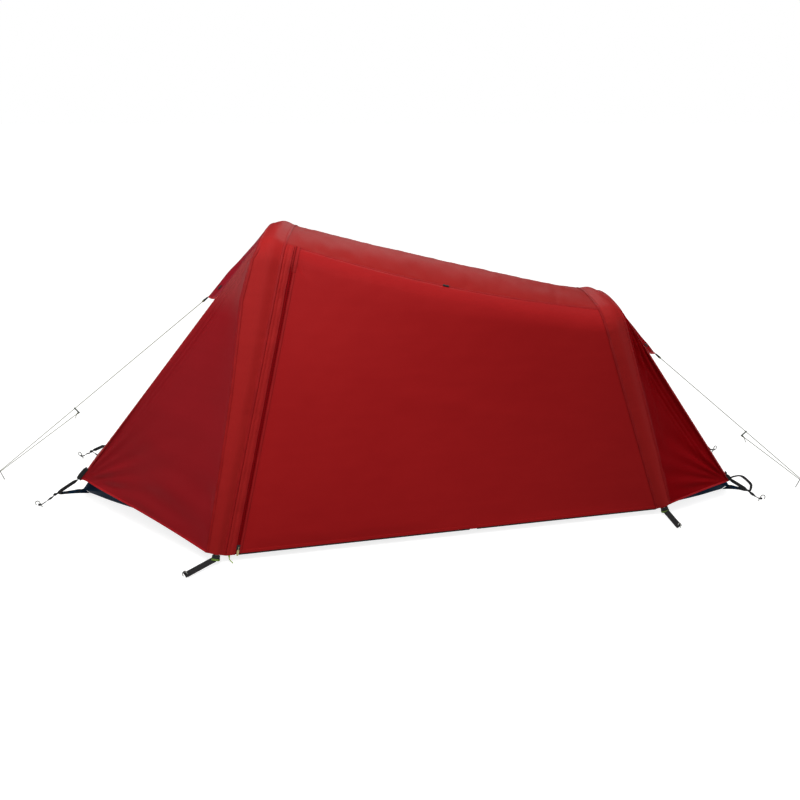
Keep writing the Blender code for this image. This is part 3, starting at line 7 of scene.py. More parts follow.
import bmesh
import bpy
import numpy as np
from mathutils import Vector
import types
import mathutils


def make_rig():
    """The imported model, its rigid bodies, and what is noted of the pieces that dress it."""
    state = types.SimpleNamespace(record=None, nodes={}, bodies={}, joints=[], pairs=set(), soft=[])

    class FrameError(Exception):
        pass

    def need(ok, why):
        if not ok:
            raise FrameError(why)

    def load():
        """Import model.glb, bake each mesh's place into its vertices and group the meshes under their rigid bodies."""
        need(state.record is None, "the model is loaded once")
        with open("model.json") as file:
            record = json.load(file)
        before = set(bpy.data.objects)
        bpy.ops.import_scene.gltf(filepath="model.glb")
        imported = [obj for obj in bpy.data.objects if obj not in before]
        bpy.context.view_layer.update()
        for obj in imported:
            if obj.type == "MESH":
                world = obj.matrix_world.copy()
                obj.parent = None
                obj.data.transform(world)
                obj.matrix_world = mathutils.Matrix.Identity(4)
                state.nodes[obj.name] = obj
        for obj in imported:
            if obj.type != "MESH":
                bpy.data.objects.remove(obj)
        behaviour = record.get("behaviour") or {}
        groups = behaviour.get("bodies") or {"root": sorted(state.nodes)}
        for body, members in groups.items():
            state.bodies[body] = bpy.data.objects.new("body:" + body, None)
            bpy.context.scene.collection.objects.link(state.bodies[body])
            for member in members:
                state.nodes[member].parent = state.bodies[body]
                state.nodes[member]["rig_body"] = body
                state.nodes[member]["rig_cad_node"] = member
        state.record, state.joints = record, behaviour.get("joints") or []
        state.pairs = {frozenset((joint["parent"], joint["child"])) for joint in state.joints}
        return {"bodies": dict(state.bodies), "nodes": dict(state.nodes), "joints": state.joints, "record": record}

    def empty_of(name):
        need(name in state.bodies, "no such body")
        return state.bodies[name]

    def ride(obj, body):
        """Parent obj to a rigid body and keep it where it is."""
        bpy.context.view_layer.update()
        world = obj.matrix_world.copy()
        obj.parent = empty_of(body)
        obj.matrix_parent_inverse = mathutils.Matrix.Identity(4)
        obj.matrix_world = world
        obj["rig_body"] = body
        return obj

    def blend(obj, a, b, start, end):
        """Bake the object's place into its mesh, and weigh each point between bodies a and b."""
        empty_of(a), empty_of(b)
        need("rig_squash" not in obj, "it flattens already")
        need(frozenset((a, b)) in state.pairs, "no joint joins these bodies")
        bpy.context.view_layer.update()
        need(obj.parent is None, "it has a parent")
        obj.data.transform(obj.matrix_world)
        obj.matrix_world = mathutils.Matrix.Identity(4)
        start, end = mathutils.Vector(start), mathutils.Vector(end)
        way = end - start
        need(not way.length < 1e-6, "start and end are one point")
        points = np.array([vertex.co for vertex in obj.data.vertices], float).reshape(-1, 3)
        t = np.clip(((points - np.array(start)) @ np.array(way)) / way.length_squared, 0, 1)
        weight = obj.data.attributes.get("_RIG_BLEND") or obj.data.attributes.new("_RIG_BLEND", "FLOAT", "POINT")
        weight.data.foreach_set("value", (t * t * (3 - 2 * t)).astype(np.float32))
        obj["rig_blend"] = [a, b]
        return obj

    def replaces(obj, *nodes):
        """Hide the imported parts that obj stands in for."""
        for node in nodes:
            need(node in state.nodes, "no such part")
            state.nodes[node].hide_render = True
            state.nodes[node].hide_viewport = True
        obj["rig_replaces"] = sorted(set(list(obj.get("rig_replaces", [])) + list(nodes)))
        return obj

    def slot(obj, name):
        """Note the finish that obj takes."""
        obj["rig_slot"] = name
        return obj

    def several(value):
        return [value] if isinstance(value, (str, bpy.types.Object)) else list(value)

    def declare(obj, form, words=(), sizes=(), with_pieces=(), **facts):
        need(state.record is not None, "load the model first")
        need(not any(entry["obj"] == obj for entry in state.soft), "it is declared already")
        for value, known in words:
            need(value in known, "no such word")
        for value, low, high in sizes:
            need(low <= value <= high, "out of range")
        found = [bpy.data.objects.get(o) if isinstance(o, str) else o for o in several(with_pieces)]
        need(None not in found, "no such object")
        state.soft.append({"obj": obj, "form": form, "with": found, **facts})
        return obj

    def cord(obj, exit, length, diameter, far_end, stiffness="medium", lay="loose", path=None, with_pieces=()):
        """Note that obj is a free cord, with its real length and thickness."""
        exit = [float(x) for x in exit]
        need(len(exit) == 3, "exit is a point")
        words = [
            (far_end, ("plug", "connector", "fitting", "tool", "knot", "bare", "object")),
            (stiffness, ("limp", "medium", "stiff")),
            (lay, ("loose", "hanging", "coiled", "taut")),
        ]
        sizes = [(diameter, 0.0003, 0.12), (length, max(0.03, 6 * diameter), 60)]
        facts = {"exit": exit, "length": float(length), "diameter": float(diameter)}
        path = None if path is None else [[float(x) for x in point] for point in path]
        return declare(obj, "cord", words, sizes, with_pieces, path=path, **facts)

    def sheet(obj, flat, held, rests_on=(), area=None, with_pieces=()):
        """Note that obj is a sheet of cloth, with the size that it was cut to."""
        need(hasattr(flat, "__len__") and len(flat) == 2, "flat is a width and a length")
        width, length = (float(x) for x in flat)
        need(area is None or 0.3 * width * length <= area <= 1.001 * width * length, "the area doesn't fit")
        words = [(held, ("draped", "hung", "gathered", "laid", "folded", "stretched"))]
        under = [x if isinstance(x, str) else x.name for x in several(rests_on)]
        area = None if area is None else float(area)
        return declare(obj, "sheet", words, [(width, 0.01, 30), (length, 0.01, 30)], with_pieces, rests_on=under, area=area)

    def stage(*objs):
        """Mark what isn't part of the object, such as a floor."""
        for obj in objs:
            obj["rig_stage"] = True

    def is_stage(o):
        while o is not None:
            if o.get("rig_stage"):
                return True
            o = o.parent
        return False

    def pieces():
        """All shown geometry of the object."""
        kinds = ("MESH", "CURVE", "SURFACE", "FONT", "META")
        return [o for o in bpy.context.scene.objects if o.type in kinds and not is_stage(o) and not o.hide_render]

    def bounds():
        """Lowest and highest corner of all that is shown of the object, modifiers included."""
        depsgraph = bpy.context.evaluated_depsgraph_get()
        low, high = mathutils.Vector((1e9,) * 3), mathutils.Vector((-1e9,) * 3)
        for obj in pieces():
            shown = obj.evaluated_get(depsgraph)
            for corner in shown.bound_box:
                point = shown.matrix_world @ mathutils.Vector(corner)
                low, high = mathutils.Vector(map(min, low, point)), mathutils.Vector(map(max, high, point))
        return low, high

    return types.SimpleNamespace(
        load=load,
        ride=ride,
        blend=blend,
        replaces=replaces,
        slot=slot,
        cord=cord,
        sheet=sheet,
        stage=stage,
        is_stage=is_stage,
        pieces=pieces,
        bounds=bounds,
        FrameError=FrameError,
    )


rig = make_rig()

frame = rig.load()
cad_box = [list(corner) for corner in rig.bounds()]
nodes = frame["nodes"]

NEAR = -1
FAR = 1
ONWARD = np.array((1.0, 0.0, 0.0))
SIDEWAYS = np.array((0.0, 1.0, 0.0))
UP = np.array((0.0, 0.0, 1.0))

# The part's own driving sizes, in metres
SLEEVE_START = 0.034
SLEEVE_CROWN_HALF = 0.046
SLEEVE_FOOT_HALF = 0.030
SLEEVE_DEPTH = 0.010
FRONT_FLARE = (0.006, 0.006, 0.006, 0.008, 0.012, 0.019, 0.026, 0.013, 0.005, 0.0)
LEG_STEPS = 7
SHOULDER_STEPS = 5
SEAM_Q = 1.8
CROWN_DROOP = 0.011
ROOF_SEAM_SAG = 0.032
RIDGE_SAG = 0.002
SIDE_SAG = 0.016
END_SAG = 0.018
END_HEM_RISE = 0.013
HOOD_SHARE = 0.21
FRONT_CORNER = np.array((-1.247, 0.177, 0.086))
REAR_CORNER = np.array((1.294, 0.190, 0.064))
FRONT_HOOD_TIP = np.array((-0.733, 0.0, 0.768))
REAR_HOOD_TIP = np.array((1.011, 0.0, 0.532))
ZIP_OFFSET = 0.0385
ZIP_TAPE_WIDTH = 0.014
TAPE_EDGE = 0.0025
FOLD_GAP = 0.0026
SEW_GAP = 0.0007
DOOR_HEM_X = 0.260
POLE_START = 0.018
POLE_LIFT = 0.00465
PEG_TILT = radians(18)
GUY_PEG_NECK = 0.050
FRONT_CORNER_PEG = np.array((-1.388, 0.226, 0.0))
REAR_CORNER_PEG = np.array((1.402, 0.234, 0.0))
FRONT_FOOT_PEG = np.array((-0.712, 0.728, 0.0))
REAR_FOOT_PEG = np.array((1.010, 0.440, 0.0))
FRONT_GUY_PEG = np.array((-1.640, 0.020, 0.0))
REAR_GUY_PEG = np.array((1.605, -0.120, 0.0))
CORD_RADIUS = 0.00125
PEG_RADIUS = 0.0020
RUNNER_SHARE = 0.62
RUNNER_HOLE_SPACING = 0.011
TUB_FRONT_X = -1.235
TUB_REAR_X = 1.290
TUB_FRONT_END_HALF = 0.127
TUB_REAR_END_HALF = 0.145
TUB_FRONT_HOOP_X = -0.600
TUB_FRONT_HALF = 0.500
TUB_REAR_HOOP_X = 0.950
TUB_REAR_HALF = 0.285
TUB_WALL = 0.090
TUB_CORNER_WALL = 0.030
TUB_CORNER_PULL = 0.020
INNER_FRONT_X = -0.455
INNER_FRONT_HEIGHT = 0.955
INNER_FRONT_CROWN = 0.190
INNER_REAR_X = 0.765
INNER_REAR_HEIGHT = 0.690
INNER_REAR_CROWN = 0.145
INNER_DOME = 0.012
INNER_DOOR_START = 0.10
INNER_DOOR_END = 0.62
INNER_DOOR_SILL = 0.08
INNER_DOOR_TOP = 0.86
WEBBING_THICKNESS = 0.0014
BUCKLE_LENGTH = 0.026
BUCKLE_WIDTH = 0.020
BUCKLE_THICKNESS = 0.0030
BUCKLE_BAR = 0.0030
BUCKLE_RISE = 0.004
BUCKLE_LIFT = 0.0057
EYE_HEIGHT = 0.012
CUP_HALF = 0.0095

# Sizes of the sewn work, in metres
HEM_WIDTH = 0.012
HEM_LIFT = 0.0010
# A black strip under the fly's hem, painted shadow under the cloth: its width, and how far it hangs below the hem.
HEM_SHADOW_WIDTH = 0.005
HEM_SHADOW_DROP = 0.0022
END_HEM_WIDTH = 0.0065
SEAM_RAISE = 0.0004

# A seam's width, how far it stands proud and how much it puckers
SLEEVE_SEAM = (0.0095, 0.0012, 0.35)
ROOF_SEAM = (0.0105, 0.0011, 0.30)
FACE_SEAM = (0.010, 0.0012, 0.3)
ZIP_SEAM = (0.0085, 0.0012, 0.25)
FLAP_SEAM = (0.0070, 0.0009, 0.3)
ZIP_CREASE = (0.0055, 0.0008, 0.0)

# Other sizes of the looks, in metres
ZIP_EDGE = ZIP_OFFSET + 0.0042
NEAR_SAG = 0.012
VENT_SAG = 0.015
FOLD_REACH = 0.014
CORNER_WEB_WIDTH = 0.013
FLOOR_WEB_WIDTH = 0.011
FOOT_WEB_WIDTH = 0.021
HOOD_TAB_WIDTH = 0.0085
FOOT_CORD_RADIUS = 0.0016
CUP_ROUNDNESS = 3.2
CORNER_CURVE = 0.038
CORNER_LIFT = 0.010
CORNER_RAISE = 0.006
FLOOR_Z = 0.0004
APRON_HEIGHT = 0.070
APRON_LAP = 0.007      # how far an apron reaches down over the seam with the tub

# Rows and columns of the cloth grids
ROOF_GRID = (46, 150)
FAR_GRID = (70, 130)
NEAR_GRID = (110, 170)
END_SIDE_GRID = (96, 64)
END_FACE_GRID = (60, 50)
HOOD_GRID = (34, 61)
VENT_GRID = (22, 40)
INNER_DOOR_GRID = (46, 50)
INNER_END_GRID = (44, 61)
SLEEVE_GRID = (300, 23)

# q along a hoop's line, counted from its near foot
Q_APEX = 3
Q_END = 6

# How a guyline's strands lie
LIMP = {"stiffness": "limp", "lay": "taut"}

# The bodies that carry the pieces
TENT = "tent"
DOOR = "door"
INNER_DOOR = "inner_door_panel"


# ---------------------------------------------------------------- node trees
class Nodes:
    """A node tree, and short ways to add to it."""

    def __init__(self, tree):
        self.tree = tree

    def wire(self, made, inputs):
        """Give a node's inputs their values, or link them to other nodes' outputs."""
        for key, value in inputs.items():
            if isinstance(value, bpy.types.NodeSocket):
                self.tree.links.new(value, made.inputs[key])
            else:
                made.inputs[key].default_value = value

    def node(self, kind, inputs, **settings):
        made = self.tree.nodes.new("ShaderNode" + kind)
        for key, value in settings.items():
            setattr(made, key, value)
        self.wire(made, inputs)
        return made

    def math(self, kind, *values):
        return self.node("Math", dict(enumerate(values)), operation=kind).outputs[0]


class Finish(Nodes):
    """A material with a Principled shader."""

    def __init__(self, name, roughness=0.5, metallic=0.0, specular=0.5):
        self.material = bpy.data.materials.new(name)
        self.material.use_nodes = True
        super().__init__(self.material.node_tree)
        self.set({"Roughness": roughness, "Metallic": metallic, "Specular IOR Level": specular})

    def set(self, inputs):
        self.wire(self.tree.nodes["Principled BSDF"], inputs)

    def mapped(self, start, scale):
        return self.node("Mapping", {"Vector": start, "Scale": scale}).outputs[0]

    def cut(self, scale=(1, 1, 1)):
        """Places on the flat cloth, in metres."""
        return self.mapped(self.node("UVMap", {}).outputs["UV"], scale)

    def spot(self, scale=(1, 1, 1)):
        """Places in the piece's own space."""
        return self.mapped(self.node("TexCoord", {}).outputs["Object"], scale)

    def split(self, vector):
        return self.node("SeparateXYZ", {0: vector}).outputs

    def noise(self, vector, scale, detail=3.0, roughness=0.55):
        inputs = {"Vector": vector, "Scale": scale, "Detail": detail, "Roughness": roughness}
        return self.node("TexNoise", inputs).outputs[0]

    def wave(self, vector, scale, direction, distortion=0.0):
        inputs = {"Vector": vector, "Scale": scale, "Distortion": distortion}
        return self.node("TexWave", inputs, wave_type="BANDS", bands_direction=direction).outputs["Fac"]

    def threads(self, vector, pitch, direction, distortion=0.0):
        return self.wave(vector, 1 / pitch / 2, direction, distortion)

    def shades(self, value, low, deep, high, light):
        """From deep, where the value is low, to light, where it is high."""
        made = self.node("ValToRGB", {0: value})
        for element, place, colour in zip(made.color_ramp.elements, (low, high), (deep, light)):
            element.position = place
            element.color = (*colour, 1.0)
        return made.outputs["Color"]

    def blend(self, share, first, second):
        inputs = {0: share, 6: first, 7: second}
        inputs = {key: (*value, 1.0) if isinstance(value, tuple) else value for key, value in inputs.items()}
        return self.node("Mix", inputs, data_type="RGBA").outputs[2]

    def rough(self, value, low, high):
        self.set({"Roughness": self.node("MapRange", {"Value": value, "To Min": low, "To Max": high}).outputs[0]})

    def bump(self, height, strength, distance, **below):
        made = self.node("Bump", {"Height": height, "Strength": strength, "Distance": distance, **below}).outputs[0]
        self.set({"Normal": made})
        return made


def scaled(colour, share, more=0.0):
    return tuple(min(1.0, c * share + more) for c in colour)


# ---------------------------------------------------------------- camera, light and floor
CAMERA_PLACE = (-0.0635, -3.0111, 1.4602)
CAMERA_TURN = (radians(90 - 20.3247), 0.0, radians(-1.2081))
LAMPS = (
    # name, place, what it points at, width, height, power, colour
    ("key", (-0.55, -1.45, 2.30), (-0.05, -0.2, 0.4), 2.2, 1.4, 36.0, (1.0, 0.985, 0.96)),
    ("side", (3.0, -0.9, 1.5), (0.85, -0.2, 0.45), 0.8, 1.6, 12.0, (0.94, 0.96, 1.0)),
    ("left", (-3.4, -1.0, 1.9), (-0.5, -0.3, 0.5), 1.2, 1.6, 12.0, (1.0, 0.99, 0.97)),
    ("back", (0.6, 3.0, 2.4), (0.0, 0.2, 0.4), 2.2, 1.4, 26.0, (1.0, 0.99, 0.97)),
)
WHITE = (1, 1, 1, 1)
FLOOR_HALF = 60
FLOOR_DROP = 0.0012


def link_object(name, data):
    item = bpy.data.objects.new(name, data)
    bpy.context.scene.collection.objects.link(item)
    return item


def direct_view(tree, mirrored_too=False):
    """One for rays from the camera and through clear things, and where asked for those off shiny things."""
    ray = tree.node("LightPath", {}).outputs
    seen = tree.math("MAXIMUM", ray["Is Camera Ray"], ray["Is Transmission Ray"])
    return tree.math("MAXIMUM", seen, ray["Is Glossy Ray"]) if mirrored_too else seen


def cleared(owner):
    owner.use_nodes = True
    owner.node_tree.nodes.clear()
    return Nodes(owner.node_tree)


def build_stage():
    """The photo's camera, four area lamps and a soft sun, an even sky, and a floor that looks white."""
    scene = bpy.context.scene
    scene.view_settings.view_transform = "Standard"
    camera = link_object("camera", bpy.data.cameras.new("camera"))
    camera.data.lens = 36.0
    camera.data.sensor_width = 36.0
    camera.data.clip_start = 0.01
    camera.data.clip_end = 100.0
    camera.location = CAMERA_PLACE
    camera.rotation_euler = CAMERA_TURN
    scene.camera = camera

    scene.world = bpy.data.worlds.new("studio")
    tree = cleared(scene.world)
    soft = tree.node("Background", {"Color": (0.93, 0.96, 1.0, 1), "Strength": 0.11}).outputs[0]
    plain = tree.node("Background", {"Color": WHITE, "Strength": 1.0}).outputs[0]
    mix = tree.node("MixShader", {0: direct_view(tree), 1: soft, 2: plain}).outputs[0]
    tree.node("OutputWorld", {"Surface": mix})

    for name, place, target, width, height, power, colour in LAMPS:
        light = bpy.data.lights.new(name, "AREA")
        light.shape = "RECTANGLE"
        light.size = width
        light.size_y = height
        light.energy = power
        light.color = colour
        item = link_object(name, light)
        item.location = place
        item.rotation_euler = (Vector(target) - Vector(place)).to_track_quat("-Z", "Y").to_euler()
    overhead = link_object("overhead", bpy.data.lights.new("overhead", "SUN"))
    overhead.data.energy = 1.25
    overhead.data.angle = radians(45)
    overhead.rotation_euler = (radians(-6), radians(3), 0.0)

    mesh = bpy.data.meshes.new("floor")
    corners = ((-1, -1), (1, -1), (1, 1), (-1, 1))
    mesh.from_pydata([(x * FLOOR_HALF, y * FLOOR_HALF, -FLOOR_DROP) for x, y in corners], [], [(0, 1, 2, 3)])
    finish = bpy.data.materials.new("pale_floor")
    mesh.materials.append(finish)
    tree = cleared(finish)
    grey = tree.node("BsdfDiffuse", {"Color": (0.16, 0.16, 0.16, 1)}).outputs[0]
    glow = tree.node("Emission", {"Color": WHITE, "Strength": 1.66}).outputs[0]
    white = tree.node("BsdfDiffuse", {"Color": (0.9, 0.9, 0.9, 1)}).outputs[0]
    pale = tree.node("MixShader", {0: 0.50, 1: glow, 2: white}).outputs[0]
    mix = tree.node("MixShader", {0: direct_view(tree, True), 1: grey, 2: pale}).outputs[0]
    tree.node("OutputMaterial", {"Surface": mix})
    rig.stage(link_object("floor", mesh))


build_stage()

# ---------------------------------------------------------------- finishes
RIPSTOP_GRID = 0.0055
WEAVE_PITCH = 0.0012
STITCH_PITCH = 0.0036
TWILL_PITCH = 0.0022
NET_PITCH = 0.0026
NET_COVER = 0.34


def ripstop(name, light, deep, roughness=0.50, sheen=0.0, specular=0.09, painted_sheen=None):
    """Coated ripstop: a fine plain weave, a faint grid of thicker threads, soft mottling and small creases.
    painted_sheen, when given, paints a pinkish sheen into the colour, fading in between two heights of the piece.
    """
    f = Finish(name, specular=specular)
    cut = f.cut()
    spot = f.spot()
    cloud = f.noise(spot, 2.6, 4.0, 0.6)
    streak = f.noise(f.spot((5, 5, 38)), 1.0)
    shade = f.math("MULTIPLY_ADD", streak, 0.35, f.math("MULTIPLY", cloud, 0.65))
    body = f.shades(shade, 0.33, deep, 0.66, light)
    warp, weft = (f.math("POWER", f.threads(cut, RIPSTOP_GRID, way), 18.0) for way in "XY")
    thread = f.math("MAXIMUM", warp, weft)
    body = f.blend(f.math("MULTIPLY", thread, 0.16), body, scaled(light, 1.22, 0.004))
    dust = f.noise(spot, 46.0, 5.0, 0.7)
    body = f.blend(f.math("MULTIPLY", dust, 0.10), body, scaled(deep, 0.7))
    # Painted sheen: the base colour fades to a pinkish tint between two heights, a painted highlight of soft light on
    # the upper cloth.
    if painted_sheen:
        sheen_colour, low, high = painted_sheen
        rise = f.node("MapRange", {"Value": f.split(spot)["Z"], "From Min": low, "From Max": high},
                      interpolation_type="SMOOTHSTEP")
        body = f.blend(rise.outputs["Result"], body, sheen_colour)
    f.rough(cloud, roughness - 0.05, roughness + 0.07)
    weave = f.math("MULTIPLY", *(f.threads(cut, WEAVE_PITCH, way) for way in "XY"))
    height = f.math("ADD", f.math("MULTIPLY", thread, 0.10), f.math("MULTIPLY", weave, 0.04))
    crease = f.bump(f.noise(spot, 17.0, 5.0, 0.58), 0.035, 0.010)
    f.bump(height, 0.35, 0.0008, Normal=crease)
    f.set({"Base Color": body, "Sheen Weight": sheen, "Sheen Roughness": 0.45, "Sheen Tint": (1.0, 0.62, 0.62, 1.0)})
    return f.material


def stitched(name, light, deep, rows=(0.22, 0.78), width=0.010):
    """A folded and sewn edge: cloth with lines of lock stitch along it."""
    f = Finish(name, specular=0.1)
    cut = f.split(f.cut())
    across = f.math("DIVIDE", cut[0], width)
    body = f.shades(f.noise(f.spot(), 21.0, 4.0), 0.35, deep, 0.65, light)
    dash = f.math("LESS_THAN", f.math("FRACT", f.math("DIVIDE", cut[1], STITCH_PITCH)), 0.68)
    marks = [f.math("LESS_THAN", f.math("ABSOLUTE", f.math("SUBTRACT", across, row)), 0.045) for row in rows]
    marks = f.math("MAXIMUM", *marks) if len(marks) > 1 else marks[0]
    seam = f.math("MULTIPLY", marks, dash)
    f.set({"Base Color": f.blend(f.math("MULTIPLY", seam, 0.75), body, scaled(deep, 0.72))})
    pucker = f.noise(f.spot(), 120.0)
    f.bump(f.math("SUBTRACT", f.math("MULTIPLY", pucker, 0.5), marks), 0.5, 0.0007)
    return f.material


def webbing_finish(name, light, deep, rib=0.0016, specular=0.3):
    f = Finish(name, specular=specular)
    cut = f.cut()
    ribs = f.threads(cut, rib, "Y", 0.4)
    twill = f.threads(cut, TWILL_PITCH, "DIAGONAL")
    worn = f.noise(f.spot(), 90.0, 4.0)
    shade = f.math("MULTIPLY_ADD", worn, 0.5, f.math("MULTIPLY", twill, 0.5))
    f.set({"Base Color": f.shades(shade, 0.25, deep, 0.8, light)})
    f.rough(worn, 0.6, 0.85)
    f.bump(f.math("ADD", ribs, f.math("MULTIPLY", twill, 0.6)), 0.6, 0.0006)
    return f.material


def cord_finish(name, pale, dark, fleck):
    f = Finish(name, 0.68, specular=0.3)
    spot = f.spot()
    braid = f.wave(spot, 210.0, "DIAGONAL", 3.0)
    flecked = f.math("GREATER_THAN", f.noise(spot, 700.0, 2.0), 0.60)
    f.set({"Base Color": f.blend(flecked, f.shades(braid, 0.3, dark, 0.7, pale), fleck)})
    f.bump(braid, 0.5, 0.0004)
    return f.material


def plastic_finish(name, light, deep, roughness=0.42):
    f = Finish(name)
    scuff = f.noise(f.spot(), 60.0, 5.0, 0.7)
    f.set({"Base Color": f.shades(scuff, 0.35, deep, 0.75, light)})
    f.rough(scuff, roughness - 0.08, roughness + 0.16)
    f.bump(f.noise(f.spot(), 900.0), 0.25, 0.0002)
    return f.material


def metal_finish(name, light, deep, roughness=0.30):
    f = Finish(name, metallic=1.0)
    brushed = f.noise(f.spot((1, 1, 14)), 160.0, 4.0, 0.65)
    stain = f.noise(f.spot(), 40.0, 4.0)
    shade = f.math("MULTIPLY_ADD", brushed, 0.4, f.math("MULTIPLY", stain, 0.6))
    f.set({"Base Color": f.shades(shade, 0.3, deep, 0.7, light)})
    f.rough(brushed, roughness - 0.08, roughness + 0.15)
    f.bump(brushed, 0.12, 0.0002)
    return f.material


def netting_finish(name, colour):
    """Knitted mesh: threads round rows of small holes that show what is behind."""
    f = Finish(name, 0.8, specular=0.2)
    inputs = {"Vector": f.cut((1 / NET_PITCH, 1 / NET_PITCH, 1)), "Scale": 1.0, "Randomness": 0.15}
    cells = f.node("TexVoronoi", inputs, feature="DISTANCE_TO_EDGE")
    thread = f.math("LESS_THAN", cells.outputs["Distance"], NET_COVER / 2)
    cloud = f.noise(f.spot(), 30.0)
    f.set({"Base Color": f.shades(cloud, 0.3, scaled(colour, 0.7), 0.7, colour), "Alpha": thread})
    return f.material


RED = ripstop("ripstop_fly_red", (0.396, 0.0110, 0.0120), (0.360, 0.0090, 0.0105), specular=0.065)
# The roof: the fly's red with a pinker tint, partly painted sheen on the upward face.
RED_ROOF_WITH_SHEEN = ripstop("ripstop_roof_painted_sheen_red", (0.350, 0.0165, 0.0150), (0.315, 0.0140, 0.0128), specular=0.035)
# The ends: a darker copy of the fly's red, painted shade on the end panels.
RED_END_PAINTED_SHADE = ripstop("ripstop_end_red", (0.300, 0.0060, 0.0110), (0.265, 0.0050, 0.0090))
# The rear end: a darker, deeper copy of the fly's red, painted shade for the end turned from the light.
RED_REAR_PAINTED_SHADE = ripstop("ripstop_rear_end_red", (0.280, 0.0006, 0.0030), (0.240, 0.0004, 0.0022), specular=0.03)
RED_SLEEVE = ripstop("ripstop_sleeve_red", (0.385, 0.0160, 0.0155), (0.340, 0.0130, 0.0130), specular=0.05)
# The front end's sides: the same painted-shade red, turning pinkish near the top as a painted sheen.
RED_END_SIDE_SHADE_AND_SHEEN = ripstop("ripstop_end_side_red", (0.300, 0.0060, 0.0110), (0.265, 0.0050, 0.0090),
                       painted_sheen=((0.300, 0.0370, 0.0390), 0.75, 0.89))
RED_HOOD = ripstop("ripstop_hood_red", (0.300, 0.0085, 0.0190), (0.262, 0.0065, 0.0150), specular=0.06)
# A darker red for the crease where the zip ends, painted shade in the crease.
RED_ZIP_END_SHADE = ripstop("ripstop_zip_end_red", (0.215, 0.0060, 0.0070), (0.180, 0.0045, 0.0055), specular=0.04)
# The hoods' underside: a much brighter, pinker red, a painted glow of light shining through the thin cloth.
RED_UNDERSIDE_GLOW = ripstop("ripstop_underside_painted_glow_red", (0.560, 0.0700, 0.0750), (0.480, 0.0550, 0.0600), roughness=0.6)
SEAM_RED = stitched("sewn_seam_red", (0.370, 0.0110, 0.0120), (0.300, 0.0080, 0.0095))
TRIM_RED = stitched("sewn_hem_red", (0.480, 0.0110, 0.0150), (0.400, 0.0080, 0.0120), rows=(0.5,), width=0.007)
# The black strip under the hem: painted shadow under the fly's lower edge, with a row of stitches.
HEM_SHADOW_BLACK = stitched("hem_painted_shadow_black", (0.020, 0.012, 0.012), (0.010, 0.006, 0.006), rows=(0.5,), width=0.006)
INNER = ripstop("inner_cloth_grey", (0.52, 0.51, 0.49), (0.45, 0.44, 0.42), roughness=0.7, sheen=0.05)
FLOOR_BLUE = ripstop("coated_floor_blue", (0.0050, 0.0280, 0.0680), (0.0035, 0.0200, 0.0500), specular=0.05)
NET_BLACK = netting_finish("netting_black", (0.012, 0.012, 0.013))
WEB_BLACK = webbing_finish("webbing_black", (0.022, 0.022, 0.023), (0.007, 0.007, 0.008))
WEB_GREEN = webbing_finish("webbing_green", (0.250, 0.420, 0.060), (0.140, 0.260, 0.035))
TAPE_BLACK = webbing_finish("zip_tape_black", (0.020, 0.014, 0.015), (0.008, 0.005, 0.006), rib=0.0010)
TAPE_RED = webbing_finish("zip_tape_red", (0.420, 0.0030, 0.0060), (0.280, 0.0015, 0.0040), rib=0.0010, specular=0.06)
PLASTIC = plastic_finish("moulded_black", (0.020, 0.020, 0.021), (0.008, 0.008, 0.009))
PLASTIC_GREY = plastic_finish("moulded_grey", (0.230, 0.270, 0.240), (0.130, 0.160, 0.140))
PULL_YELLOW = plastic_finish("moulded_yellow", (0.720, 0.640, 0.340), (0.560, 0.470, 0.210))
ALLOY = metal_finish("pole_alloy", (0.70, 0.69, 0.66), (0.52, 0.51, 0.49))
PEG_METAL = metal_finish("peg_alloy", (0.46, 0.47, 0.45), (0.26, 0.27, 0.25), 0.38)
SLIDER_METAL = plastic_finish("slider_black_coat", (0.020, 0.018, 0.018), (0.008, 0.007, 0.007), 0.60)
CORD_PALE = cord_finish("cord_pale", (0.300, 0.330, 0.170), (0.150, 0.170, 0.080), (0.400, 0.420, 0.260))
CORD_OLIVE = cord_finish("cord_olive", (0.095, 0.125, 0.018), (0.040, 0.055, 0.009), (0.160, 0.190, 0.040))
CORD_LIME = cord_finish("cord_lime", (0.42, 0.62, 0.08), (0.26, 0.42, 0.05), (0.60, 0.78, 0.22))

CAD_FINISHES = (
    (ALLOY, [n for n in nodes if "_pole_" in n and not n.endswith("sleeve")]),
    (PEG_METAL, [n for n in nodes if "_peg" in n]),
    (PLASTIC, [n for n in nodes if n.startswith("corner_buckle")] + ["door_toggle"]),
    (PLASTIC_GREY, ["front_guy_runner", "rear_guy_runner"]),
    (TAPE_RED, ["zip_tape_frame", "zip_tape_door"]),
    (SLIDER_METAL, ["zip_slider"]),
    (PULL_YELLOW, ["zip_puller"]),
)
for finish, names in CAD_FINISHES:
    for name in names:
        slots = nodes[name].data.materials
        if len(slots) == 0:
            slots.append(finish)
        for place in range(len(slots)):
            slots[place] = finish


# ---------------------------------------------------------------- vectors and lines
def unit(vector):
    vector = np.asarray(vector, float)
    return vector / np.linalg.norm(vector, axis=-1, keepdims=True)


def unit_toward(vector, way):
    """A unit vector, turned round where it points against a way."""
    vector = unit(vector)
    return vector if vector @ way > 0 else -vector


def flat_unit(vector):
    """The level direction of a vector."""
    return unit(np.array((vector[0], vector[1], 0.0)))


def without(vector, axis):
    """The direction of a vector's part across an axis."""
    return unit(vector - axis * (np.asarray(vector) * axis).sum(-1, keepdims=True))


def length_of(vector):
    return np.linalg.norm(vector, axis=-1)


def lerp(a, b, share):
    share = np.asarray(share, float)
    if share.ndim:
        share = share[..., None]
    return a + (b - a) * share


def spans(line):
    return np.concatenate([[0.0], np.cumsum(length_of(np.diff(line, axis=0)))])


def line_length(line):
    return float(spans(line)[-1])


